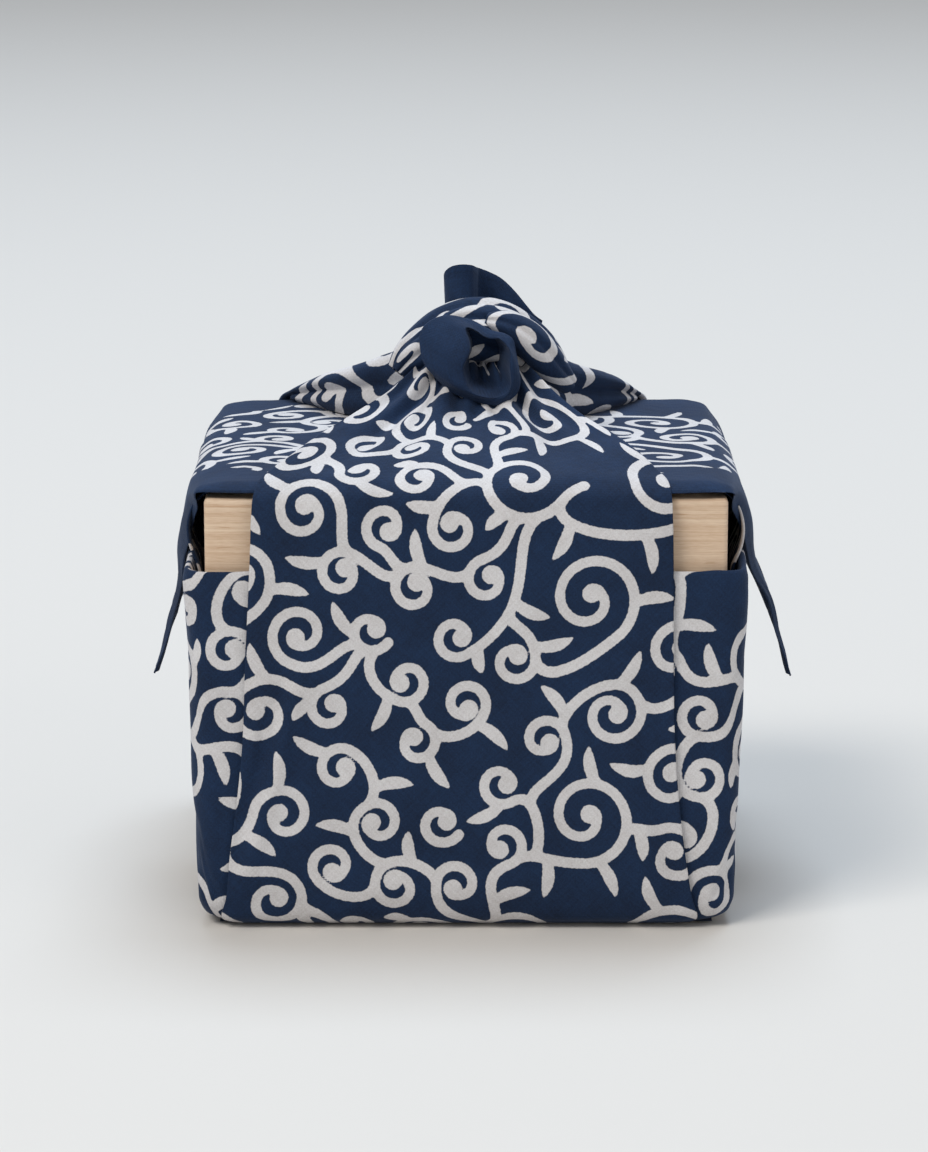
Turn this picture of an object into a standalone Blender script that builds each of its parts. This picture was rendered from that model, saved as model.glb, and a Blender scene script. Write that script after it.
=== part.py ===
"""A square cotton furoshiki tied round a wooden box.

The box stands diagonally on the cloth. Two opposite corners of the cloth cross over the lid and hang
down the sides as loose wings. The other two rise up the front and the back as broad panels and are tied
above the lid, and the side layers end in a fold below the lid, so the box shows at its four corners.
The front is towards -Y. The origin is the middle of the flat bottom, where the whole thing stands.
All sizes in the tables are in millimetres, and MM turns them into Blender's metres.
"""

import math
from typing import NamedTuple

import bmesh
import bpy
import numpy as np

MM = 0.001

# Wooden box
BOX_SIDE = 180.0
BOX_HEIGHT = 150.0
BOX_CHAMFER = 3.0
BOX_FOOT_CHAMFER = 5.0
FLOOR_CLOTH = 2.0  # the cloth under the box
PIECE_GAP = 0.3
BOX_BOTTOM = FLOOR_CLOTH + PIECE_GAP

# Cloth
CLOTH_THICKNESS = 2.0
PANEL_THICKNESS = 2.8  # a panel and the layer folded in behind its edges
SIDE_LAYERS = 2.4  # the layers folded together round the sides
FOLD_DROOP = 0.8  # how uneven the fold along the top of the side layers is
PLEAT_DEPTH = 0.9  # the diagonal pleats at the lower corners

CORNER_POINTS = 5
SIDE_POINTS = 5
PANEL_COLUMNS = 17
FLAP_COLUMNS = 9
CUP_POINTS = 18
BAND_POINTS = 14


class SideRow(NamedTuple):
    """One level of the side layers' outer face."""

    height: float
    half_width: float
    half_depth: float
    corner: float


SIDE_ROWS = (
    SideRow(0.0, 84.0, 84.5, 14.0),
    SideRow(1.0, 88.4, 88.4, 13.0),
    SideRow(3.0, 91.8, 91.4, 11.5),
    SideRow(7.0, 93.8, 93.3, 10.0),
    SideRow(15.0, 94.6, 93.9, 9.0),
    SideRow(38.0, 95.1, 94.2, 8.5),
    SideRow(62.0, 95.8, 94.2, 8.5),
    SideRow(86.0, 96.5, 94.2, 8.5),
    SideRow(108.0, 97.4, 94.2, 8.5),
    SideRow(121.0, 98.0, 94.2, 8.5),
    SideRow(126.5, 97.6, 94.0, 8.5),
    SideRow(128.3, 96.7, 93.3, 8.0),
)
INNER_CORNER_DROP = 3.5  # how much tighter the inner face turns at a corner
INNER_HEIGHTS = (127.6, 121.0, 86.0, 38.0, 15.0, 7.0, 4.0)
INNER_FLOOR_HALF = 86.0


class PanelRow(NamedTuple):
    """One line across a tied panel: how far out from the middle, how high, and its two half widths."""

    out: float
    height: float
    left: float
    right: float
    gather: float


PANEL_ROWS = (
    PanelRow(88.0, 1.6, 82.5, 78.5, 0.0),
    PanelRow(92.0, 4.8, 85.0, 80.5, 0.0),
    PanelRow(93.9, 12.0, 83.8, 79.0, 0.1),
    PanelRow(94.3, 26.0, 82.3, 76.5, 0.3),
    PanelRow(94.5, 46.0, 79.6, 74.0, 0.4),
    PanelRow(94.6, 70.0, 77.2, 72.2, 0.4),
    PanelRow(94.6, 95.0, 76.2, 71.6, 0.4),
    PanelRow(94.6, 118.0, 74.9, 71.3, 0.4),
    PanelRow(94.4, 136.0, 74.0, 71.1, 0.5),
    PanelRow(93.9, 147.0, 73.6, 70.8, 0.4),
    PanelRow(92.2, 153.4, 72.7, 70.0, 0.4),
    PanelRow(88.2, 157.4, 70.5, 68.0, 0.5),
    PanelRow(80.0, 160.8, 65.0, 63.0, 0.9),
    PanelRow(68.0, 164.6, 56.5, 57.0, 1.3),
    PanelRow(54.0, 168.4, 48.5, 49.5, 1.7),
    PanelRow(42.0, 173.0, 38.5, 39.5, 1.8),
    PanelRow(31.0, 179.8, 26.0, 30.0, 1.6),
    PanelRow(22.0, 186.3, 19.5, 24.0, 1.2),
    PanelRow(5.0, 193.0, 15.0, 19.0, 0.3),
)
GATHER_WAVES = 4.0
BACK_PHASE = 1.9


class FlapRow(NamedTuple):
    """One line across the flap from wing tip to wing tip: its place and its half width front to back."""

    x: float
    height: float
    half_depth: float


FLAP_ROWS = (
    FlapRow(-115.6, 72.5, 2.5),
    FlapRow(-112.6, 81.0, 10.0),
    FlapRow(-109.9, 91.0, 19.5),
    FlapRow(-107.9, 101.0, 29.0),
    FlapRow(-106.8, 111.0, 38.0),
    FlapRow(-104.6, 121.0, 47.5),
    FlapRow(-101.2, 131.0, 57.0),
    FlapRow(-98.0, 140.0, 65.5),
    FlapRow(-95.6, 147.5, 72.0),
    FlapRow(-92.4, 153.4, 76.5),
    FlapRow(-86.5, 156.2, 80.0),
    FlapRow(-77.0, 156.9, 86.0),
    FlapRow(-55.0, 157.4, 88.0),
    FlapRow(-20.0, 158.2, 88.0),
    FlapRow(20.0, 158.2, 88.0),
    FlapRow(55.0, 157.4, 88.0),
    FlapRow(77.0, 156.9, 86.0),
    FlapRow(86.5, 156.4, 80.0),
    FlapRow(92.6, 153.6, 76.5),
    FlapRow(96.2, 147.5, 72.0),
    FlapRow(98.8, 140.0, 65.5),
    FlapRow(102.4, 131.0, 57.0),
    FlapRow(105.6, 121.0, 47.5),
    FlapRow(108.0, 110.0, 37.5),
    FlapRow(110.2, 99.0, 27.0),
    FlapRow(113.2, 87.0, 16.0),
    FlapRow(117.0, 77.0, 7.0),
    FlapRow(121.2, 69.5, 2.5),
)


class RiserRow(NamedTuple):
    """One level of the layer that rises between a side fold and the lid, under a wing."""

    x: float
    height: float
    half_depth: float


RISER_ROWS = (
    RiserRow(95.6, 96.0, 44.0),
    RiserRow(94.9, 112.0, 43.0),
    RiserRow(94.2, 128.0, 42.0),
    RiserRow(93.9, 142.0, 42.0),
    RiserRow(91.6, 155.4, 42.0),
)


class BandRow(NamedTuple):
    """One upright section of a bundle of gathered cloth in the knot, which runs from left to right."""

    x: float
    y: float
    height: float
    half_depth: float
    half_height: float


UPPER_BAND_ROWS = (
    BandRow(-23.0, -7.0, 188.0, 5.0, 5.0),
    BandRow(-19.0, -6.0, 190.5, 11.5, 9.0),
    BandRow(-11.0, -5.0, 193.5, 15.5, 12.0),
    BandRow(0.0, -4.0, 195.5, 17.0, 14.0),
    BandRow(11.0, -4.0, 195.0, 16.5, 13.5),
    BandRow(21.0, -3.0, 192.0, 14.5, 12.0),
    BandRow(29.0, -2.0, 188.5, 11.5, 9.5),
    BandRow(34.0, -2.0, 185.0, 5.5, 5.0),
)

LOWER_BAND_ROWS = (
    BandRow(-28.0, 0.5, 168.0, 7.0, 5.5),
    BandRow(-20.0, 0.0, 169.5, 16.0, 9.5),
    BandRow(-8.0, 0.0, 171.0, 22.0, 13.0),
    BandRow(6.0, 0.0, 171.5, 23.0, 14.0),
    BandRow(20.0, 0.5, 169.5, 17.0, 11.0),
    BandRow(31.0, 1.0, 167.5, 7.0, 5.5),
)


class RimRow(NamedTuple):
    """One point on the rim of the front tail, which cups towards the front."""

    x: float
    height: float
    y: float


RIM_ROWS = (
    RimRow(-18.6, 194.8, -24.0),
    RimRow(-12.8, 186.4, -30.0),
    RimRow(-8.6, 181.2, -33.0),
    RimRow(-2.7, 177.6, -35.0),
    RimRow(3.4, 175.4, -35.5),
    RimRow(9.4, 175.2, -35.0),
    RimRow(14.7, 178.4, -34.0),
    RimRow(17.7, 184.5, -32.0),
    RimRow(17.3, 190.8, -29.5),
    RimRow(14.6, 197.0, -26.5),
    RimRow(8.0, 200.2, -24.0),
    RimRow(-1.0, 203.6, -21.5),
    RimRow(-10.0, 205.2, -19.5),
    RimRow(-16.2, 200.6, -20.5),
)
CUP_HOLLOW = (4.0, 190.0, -17.0)  # x, height and y of the deepest point
CUP_STEPS = (0.25, 0.55, 0.8, 1.0)


class TailRow(NamedTuple):
    """One upright line of the rear tail, which stands up behind the knot."""

    x: float
    y: float
    foot: float
    top: float


REAR_TAIL_ROWS = (
    TailRow(-8.3, 10.5, 186.0, 214.5),
    TailRow(-6.2, 6.0, 186.0, 218.2),
    TailRow(-1.5, 3.5, 186.0, 219.4),
    TailRow(4.0, 5.0, 186.0, 218.8),
    TailRow(7.0, 10.0, 186.0, 216.6),
    TailRow(12.0, 10.5, 186.0, 213.6),
    TailRow(17.5, 9.0, 186.0, 208.6),
    TailRow(22.5, 8.0, 186.0, 202.6),
    TailRow(27.0, 7.5, 188.5, 198.4),
)
REAR_TAIL_STEPS = 6


def clear_scene():
    """Remove every object that the startup file holds."""
    for obj in list(bpy.data.objects):
        bpy.data.objects.remove(obj, do_unlink=True)


def make_material(name, colour, roughness):
    """Return a plain Principled material; colour is linear RGB."""
    material = bpy.data.materials.new(name)
    material.use_nodes = True
    shader = material.node_tree.nodes["Principled BSDF"]
    shader.inputs["Base Color"].default_value = (*colour, 1.0)
    shader.inputs["Roughness"].default_value = roughness
    shader.inputs["Metallic"].default_value = 0.0
    return material


def object_from_bmesh(name, mesh_data, material):
    """Turn a bmesh into a smooth object of flat triangles that point outwards."""
    bmesh.ops.recalc_face_normals(mesh_data, faces=mesh_data.faces)
    bmesh.ops.triangulate(mesh_data, faces=mesh_data.faces)
    mesh = bpy.data.meshes.new(name)
    mesh_data.to_mesh(mesh)
    mesh_data.free()
    mesh.materials.append(material)
    mesh.shade_smooth()
    mesh.set_sharp_from_angle(angle=math.radians(40.0))
    obj = bpy.data.objects.new(name, mesh)
    bpy.context.scene.collection.objects.link(obj)
    return obj


def lofted_solid(name, rings, material):
    """Join equal rings of points, in millimetres, one after another and cap both ends."""
    built = bmesh.new()
    loops = [[built.verts.new(point * MM) for point in ring] for ring in rings]
    count = len(loops[0])
    for lower, upper in zip(loops, loops[1:]):
        for i in range(count):
            j = (i + 1) % count
            built.faces.new((lower[i], lower[j], upper[j], upper[i]))
    built.faces.new(loops[0])
    built.faces.new(loops[-1])
    return object_from_bmesh(name, built, material)


def sheet_normals(centre):
    """Return the unit normal at each point of a grid of points."""
    along = np.gradient(centre, axis=0)
    across = np.gradient(centre, axis=1)
    normal = np.cross(along, across)
    return normal / np.linalg.norm(normal, axis=2, keepdims=True)


def thick_sheet(name, centre, thickness, material):
    """Give a grid of centre points, in millimetres, a thickness and close it round its edge."""
    normal = sheet_normals(centre)
    rows, columns = centre.shape[:2]
    built = bmesh.new()
    faces = []
    for side in (0.5, -0.5):
        points = centre + normal * thickness * side
        faces.append([[built.verts.new(p * MM) for p in row] for row in points])
    for grid in faces:
        for r in range(rows - 1):
            for c in range(columns - 1):
                built.faces.new((grid[r][c], grid[r][c + 1], grid[r + 1][c + 1], grid[r + 1][c]))
    edge = [(0, c) for c in range(columns)]
    edge += [(r, columns - 1) for r in range(1, rows)]
    edge += [(rows - 1, c) for c in range(columns - 2, -1, -1)]
    edge += [(r, 0) for r in range(rows - 2, 0, -1)]
    front, back = faces
    for (r0, c0), (r1, c1) in zip(edge, edge[1:] + edge[:1]):
        built.faces.new((front[r0][c0], front[r1][c1], back[r1][c1], back[r0][c0]))
    return object_from_bmesh(name, built, material)


def rounded_rectangle(half_width, half_depth, corner, height):
    """Return a level ring of points round a rectangle with round corners."""
    ring = []
    quarters = ((1, 1), (-1, 1), (-1, -1), (1, -1))
    for quarter, (sx, sy) in enumerate(quarters):
        middle = np.array((sx * (half_width - corner), sy * (half_depth - corner)))
        for step in range(CORNER_POINTS):
            angle = math.radians(90.0 * (quarter + step / (CORNER_POINTS - 1)))
            ring.append(middle + corner * np.array((math.cos(angle), math.sin(angle))))
        nx, ny = quarters[(quarter + 1) % 4]
        following = np.array((nx * (half_width - corner), ny * (half_depth - corner)))
        turned = math.radians(90.0 * (quarter + 1))
        start = ring[-1]
        end = following + corner * np.array((math.cos(turned), math.sin(turned)))
        for step in range(1, SIDE_POINTS + 1):
            ring.append(start + (end - start) * step / (SIDE_POINTS + 1))
    return np.array([(x, y, height) for x, y in ring])


def fold_droop(points, share):
    """Lower a ring near the fold a little, more in some places than in others."""
    angle = np.arctan2(points[:, 1], points[:, 0])
    wave = np.sin(3.0 * angle + 0.7) + 0.6 * np.sin(7.0 * angle + 2.0)
    points[:, 2] -= FOLD_DROOP * share * (0.8 + 0.5 * wave)
    return points


def corner_pleats(points, height):
    """Draw the outer face in along slanting pleats beside each lower corner."""
    angle = np.degrees(np.arctan2(points[:, 1], points[:, 0])) % 90.0
    trough = 40.0 - 0.16 * height
    depth = PLEAT_DEPTH * math.exp(-(((height - 26.0) / 20.0) ** 2))
    inward = depth * np.exp(-(((angle - trough) / 3.0) ** 2))
    length = np.linalg.norm(points[:, :2], axis=1)
    points[:, :2] *= (1.0 - inward / length)[:, None]
    return points


def side_half_sizes(height):
    """Return the outer half width, half depth and corner radius of the side layers at a height."""
    heights = [row.height for row in SIDE_ROWS]
    return tuple(
        float(np.interp(height, heights, [getattr(row, column) for row in SIDE_ROWS]))
        for column in ("half_width", "half_depth", "corner")
    )


def build_side_layers(material):
    """The floor and the side layers, from the flat bottom up to the fold and down the inner face."""
    rings = []
    for row in SIDE_ROWS:
        ring = rounded_rectangle(row.half_width, row.half_depth, row.corner, row.height)
        ring = corner_pleats(ring, row.height)
        rings.append(fold_droop(ring, max(0.0, (row.height - 86.0) / 42.0)))
    for height in INNER_HEIGHTS:
        half_width, half_depth, corner = side_half_sizes(height)
        ring = rounded_rectangle(
            half_width - SIDE_LAYERS,
            half_depth - SIDE_LAYERS,
            corner - INNER_CORNER_DROP,
            height,
        )
        rings.append(fold_droop(ring, max(0.0, (height - 86.0) / 42.0)))
    rings.append(rounded_rectangle(INNER_FLOOR_HALF, INNER_FLOOR_HALF, 9.0, FLOOR_CLOTH))
    return lofted_solid("side_layers", rings, material)


def build_panel(name, facing, phase, material):
    """A broad panel up the front (facing -1) or the back (facing 1) and over the lid to the knot."""
    share = np.linspace(0.0, 1.0, PANEL_COLUMNS)
    centre = np.zeros((len(PANEL_ROWS), PANEL_COLUMNS, 3))
    for r, row in enumerate(PANEL_ROWS):
        centre[r, :, 0] = -row.left + (row.left + row.right) * share
        centre[r, :, 1] = facing * row.out
        centre[r, :, 2] = row.height
    normal = sheet_normals(centre)
    outwards = np.where(normal[..., 1:2] * facing + normal[..., 2:3] > 0.0, 1.0, -1.0)
    wave = np.sin(2.0 * math.pi * GATHER_WAVES * share + phase)
    gather = np.array([row.gather for row in PANEL_ROWS])
    centre += normal * outwards * (gather[:, None] * wave[None, :])[..., None]
    return thick_sheet(name, centre, PANEL_THICKNESS, material)


def build_flap(material):
    """The two crossed corners over the lid, with a wing hanging loose on each side."""
    share = np.linspace(-1.0, 1.0, FLAP_COLUMNS)
    centre = np.zeros((len(FLAP_ROWS), FLAP_COLUMNS, 3))
    for r, row in enumerate(FLAP_ROWS):
        centre[r, :, 0] = row.x
        centre[r, :, 1] = row.half_depth * share
        centre[r, :, 2] = row.height
    return thick_sheet("flap", centre, CLOTH_THICKNESS, material)


def build_riser(name, side, material):
    """The layer between the side fold and the lid, on the left (side -1) or the right (side 1)."""
    centre = np.array(
        [
            [(side * row.x, y, row.height) for y in np.linspace(-row.half_depth, row.half_depth, 4)]
            for row in RISER_ROWS
        ]
    )
    return thick_sheet(name, centre, CLOTH_THICKNESS, material)


def build_band(name, rows, material):
    """One half of the knot, as a rounded mass of gathered cloth."""
    rings = []
    for row in rows:
        angles = np.linspace(0.0, 2.0 * math.pi, BAND_POINTS, endpoint=False)
        ring = np.zeros((BAND_POINTS, 3))
        ring[:, 0] = row.x
        ring[:, 1] = row.y + row.half_depth * np.cos(angles)
        ring[:, 2] = row.height + row.half_height * np.sin(angles)
        rings.append(ring)
    return lofted_solid(name, rings, material)


def cup_ring(step, inset, setback):
    """Return one ring of the cupped tail: step runs from the hollow (0) to the rim (1)."""
    rim = np.array([(row.x, row.y, row.height) for row in RIM_ROWS])
    x, height, y = CUP_HOLLOW
    spread = rim[:, [0, 2]] - np.array((x, height))
    radius = np.linalg.norm(spread, axis=1, keepdims=True)
    spread *= (radius * step - inset) / radius
    ring = np.zeros_like(rim)
    ring[:, [0, 2]] = np.array((x, height)) + spread
    ring[:, 1] = y + setback + (rim[:, 1] - y) * step**2
    return ring


def build_front_tail(material):
    """The front tail: a navy corner that turns down over the knot and cups towards the front."""
    outer = [cup_ring(step, 0.0, CLOTH_THICKNESS) for step in CUP_STEPS]
    inner = [cup_ring(step, 1.2, 0.0) for step in reversed(CUP_STEPS)]
    return lofted_solid("front_tail", outer + inner, material)


def build_rear_tail(material):
    """The rear tail: a corner that stands up behind the knot, rolled forwards on its left."""
    rise = np.linspace(0.0, 1.0, REAR_TAIL_STEPS)
    centre = np.zeros((REAR_TAIL_STEPS, len(REAR_TAIL_ROWS), 3))
    for c, row in enumerate(REAR_TAIL_ROWS):
        centre[:, c, 0] = row.x
        centre[:, c, 1] = row.y
        centre[:, c, 2] = row.foot + (row.top - row.foot) * rise
    return thick_sheet("rear_tail", centre, CLOTH_THICKNESS, material)


def unite(base, others, name):
    """Join overlapping solids to the base with Boolean unions; the others become hidden guides."""
    for other in others:
        join = base.modifiers.new("join_" + other.name, "BOOLEAN")
        join.operation = "UNION"
        join.solver = "EXACT"
        join.object = other
        other.hide_render = True
        other.display_type = "WIRE"
    base.name = name
    base.data.name = name
    return base


def box_outline(inset):
    """Return the four corners of the box's plan, drawn in by an inset."""
    half = BOX_SIDE / 2.0 - inset
    return [(half, half), (-half, half), (-half, -half), (half, -half)]


def build_box(material):
    """The wooden box with its edges planed off: small chamfers above, wider ones at the foot."""
    levels = (
        (BOX_BOTTOM, BOX_FOOT_CHAMFER),
        (BOX_BOTTOM + BOX_FOOT_CHAMFER, 0.0),
        (BOX_BOTTOM + BOX_HEIGHT - BOX_CHAMFER, 0.0),
        (BOX_BOTTOM + BOX_HEIGHT, BOX_CHAMFER),
    )
    rings = []
    for height, inset in levels:
        ring = []
        corners = box_outline(inset)
        for i, (x, y) in enumerate(corners):
            before = corners[i - 1]
            after = corners[(i + 1) % 4]
            for other in (before, after):
                length = math.dist((x, y), other)
                cut = BOX_CHAMFER / length
                point = (x + (other[0] - x) * cut, y + (other[1] - y) * cut, height)
                ring.append(np.array(point))
        rings.append(ring)
    box = lofted_solid("wooden_box", rings, material)
    box.data.set_sharp_from_angle(angle=math.radians(20.0))
    return box


def main():
    """Build the box and the cloth."""
    clear_scene()
    pine = make_material("pine_planed", (0.66, 0.44, 0.27), 0.55)
    cotton = make_material("indigo_cotton", (0.016, 0.035, 0.095), 0.9)
    build_box(pine)
    pieces = [
        build_panel("front_panel", -1.0, 0.0, cotton),
        build_panel("back_panel", 1.0, BACK_PHASE, cotton),
        build_flap(cotton),
        build_riser("left_riser", -1.0, cotton),
        build_riser("right_riser", 1.0, cotton),
        build_band("lower_band", LOWER_BAND_ROWS, cotton),
        build_band("upper_band", UPPER_BAND_ROWS, cotton),
        build_front_tail(cotton),
        build_rear_tail(cotton),
    ]
    unite(build_side_layers(cotton), pieces, "furoshiki")


main()
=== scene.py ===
"""Furoshiki wrap on a wooden box: the finished cloth, knot, box and studio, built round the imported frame.

The cloth is one 700 mm square. Each piece of it here is a fine sheet that knows where it lies in the flat
cut, so the print runs on from piece to piece and stops at the plain border as it does on the real cloth.
Tables are in millimetres, in the frame's axes: the front is towards -Y, and +Z is up.
"""

from __future__ import annotations

import logging
import math
from dataclasses import dataclass, field
from enum import Enum
from typing import Any, NamedTuple, Sequence

import bpy
import numpy as np
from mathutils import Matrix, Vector

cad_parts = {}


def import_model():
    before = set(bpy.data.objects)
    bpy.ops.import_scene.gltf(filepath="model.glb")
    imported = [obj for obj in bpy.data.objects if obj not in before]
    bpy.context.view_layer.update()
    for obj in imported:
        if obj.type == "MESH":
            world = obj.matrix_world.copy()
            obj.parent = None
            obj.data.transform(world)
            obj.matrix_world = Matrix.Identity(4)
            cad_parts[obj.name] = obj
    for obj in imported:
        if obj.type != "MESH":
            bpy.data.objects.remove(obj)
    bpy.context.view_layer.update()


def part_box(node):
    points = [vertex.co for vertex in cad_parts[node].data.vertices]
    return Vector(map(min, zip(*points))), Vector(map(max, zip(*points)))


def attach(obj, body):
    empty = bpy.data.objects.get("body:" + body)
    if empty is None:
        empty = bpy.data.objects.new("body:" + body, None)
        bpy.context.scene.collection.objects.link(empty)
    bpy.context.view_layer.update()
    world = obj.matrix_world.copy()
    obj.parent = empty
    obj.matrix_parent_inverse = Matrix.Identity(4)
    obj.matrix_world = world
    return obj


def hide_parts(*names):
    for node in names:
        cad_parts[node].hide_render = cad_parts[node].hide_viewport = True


LOG = logging.getLogger("furoshiki")
MM = 0.001
CLOTH_SIDE = 700.0  # the cut square, mm
CORNER_REACH = CLOTH_SIDE / math.sqrt(2.0)  # from the middle of the cloth to a corner, mm
BORDER = 25.0  # the plain border along each edge, mm
HEM = 4.0  # the folded hem along each edge, mm
FROM_CORNER = 60.0  # how far from a corner the tails' own edge is measured, mm
BOX_HALF = 90.0  # half the box's side, mm
BUNDLE_MIDDLE = (0.0, 0.0, 80.0)  # the sides face away from here, mm
FOLD_INSIDE = (0.0, 0.0, 60.0)  # the panels and flaps face away from here, mm


def linear_colour(code: str) -> tuple[float, float, float, float]:
    """Turn an sRGB hex colour to linear RGBA.

    Args:
        code: six hex digits with a leading #.

    Returns:
        Linear red, green and blue with alpha 1.
    """
    parts = [int(code[i : i + 2], 16) / 255.0 for i in (1, 3, 5)]
    line = [c / 12.92 if c <= 0.04045 else ((c + 0.055) / 1.055) ** 2.4 for c in parts]
    return (line[0], line[1], line[2], 1.0)


def smooth_at(knots: np.ndarray, values: np.ndarray, at: np.ndarray) -> np.ndarray:
    """Read a smooth curve through the knots.

    Args:
        knots: rising places along the curve.
        values: one value, or one row of values, for each knot.
        at: the places to read.

    Returns:
        The curve's value, or row of values, at each place.
    """
    knots, values, at = (np.asarray(x, float) for x in (knots, values, at))
    slopes = np.gradient(values, knots, axis=0)
    i = np.clip(np.searchsorted(knots, at, side="right") - 1, 0, len(knots) - 2)
    width = knots[i + 1] - knots[i]
    t = (at - knots[i]) / width
    if values.ndim == 2:
        t, width = t[:, None], width[:, None]
    a, b = values[i], values[i + 1]
    rise = (3.0 - 2.0 * t) * t * t
    return a + (b - a) * rise + width * t * (1.0 - t) * ((1.0 - t) * slopes[i] - t * slopes[i + 1])


def smooth_step(low: float, high: float, x: np.ndarray) -> np.ndarray:
    """Ease from 0 at low to 1 at high.

    Args:
        low: where the step starts.
        high: where it ends.
        x: the places to read.

    Returns:
        A value from 0 to 1 for each place.
    """
    t = np.clip((x - low) / (high - low), 0.0, 1.0)
    return t * t * (3.0 - 2.0 * t)


def sample_rows(
    rows: Sequence[NamedTuple], route: Sequence[str], step: float
) -> tuple[np.ndarray, dict[str, np.ndarray]]:
    """Read a table of rows evenly along its route.

    Args:
        rows: the table, one named row for each station.
        route: the columns that are the route's coordinates.
        step: the spacing wanted, mm.

    Returns:
        The distance along the route of each sample, and each column's values there.
    """
    columns = rows[0]._fields
    table = np.array([[getattr(row, c) for c in columns] for row in rows], float)
    where = table[:, [columns.index(c) for c in route]]
    knots = np.concatenate([[0.0], np.cumsum(np.linalg.norm(np.diff(where, axis=0), axis=1))])
    at = np.linspace(0.0, knots[-1], int(knots[-1] / step) + 1)
    values = smooth_at(knots, table, at)
    return at, {c: values[:, i] for i, c in enumerate(columns)}


def rows_of(kind: type, table: Sequence[Sequence[float]]) -> tuple[Any, ...]:
    """Return the lines of a plain table as named rows."""
    return tuple(kind(*line) for line in table)


class Crease(NamedTuple):
    """A soft trough (depth above 0) or ridge (below 0) between two places on a sheet, in mm."""

    from_a: float
    from_b: float
    to_a: float
    to_b: float
    depth: float
    width: float


def crease_relief(creases: Sequence[Crease], a: np.ndarray, b: np.ndarray) -> np.ndarray:
    """Add up creases over a sheet.

    Args:
        creases: the creases, in the sheet's own two coordinates.
        a: first coordinate of each point.
        b: second coordinate of each point.

    Returns:
        How far out each point moves, mm.
    """
    relief = np.zeros_like(a)
    for crease in creases:
        start = np.array((crease.from_a, crease.from_b))
        along = np.array((crease.to_a, crease.to_b)) - start
        length = float(np.hypot(*along))
        t = ((a - start[0]) * along[0] + (b - start[1]) * along[1]) / length**2
        off = ((a - start[0]) * along[1] - (b - start[1]) * along[0]) / length
        ends = smooth_step(-0.12, 0.25, t) * smooth_step(1.12, 0.75, t)
        relief -= crease.depth * ends * np.exp(-((off / crease.width) ** 2))
    return relief


@dataclass(frozen=True)
class Ripples:
    """Soft, uneven waves that keep cloth from lying dead flat."""

    size: float
    height: float
    seed: int
    waves: int = 8

    def at(self, a: np.ndarray, b: np.ndarray) -> np.ndarray:
        """Read the waves.

        Args:
            a: first coordinate of each point, mm.
            b: second coordinate of each point, mm.

        Returns:
            The waves' height at each point, mm.
        """
        draws = np.random.default_rng(self.seed)
        total = np.zeros_like(a)
        for _ in range(self.waves):
            angle = draws.uniform(0.0, math.pi)
            length = self.size * draws.uniform(0.6, 1.7)
            phase = draws.uniform(0.0, 2.0 * math.pi)
            total += np.sin(2.0 * math.pi * (a * math.cos(angle) + b * math.sin(angle)) / length + phase)
        return self.height * total / math.sqrt(self.waves)


@dataclass
class Scroll:
    """One spiral of the vine, with the stem that leads into it."""

    centre: np.ndarray
    radius: float
    hand: int = 1
    start: float = 0.6
    path: np.ndarray = field(default_factory=lambda: np.zeros((0, 2)))


class ScrollSize(NamedTuple):
    """A size of scroll: outer radius in mm, most of them in one repeat, spare room round it, and turns."""

    radius: float
    most: int
    room: float
    turns: float
    tightening: float


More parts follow.
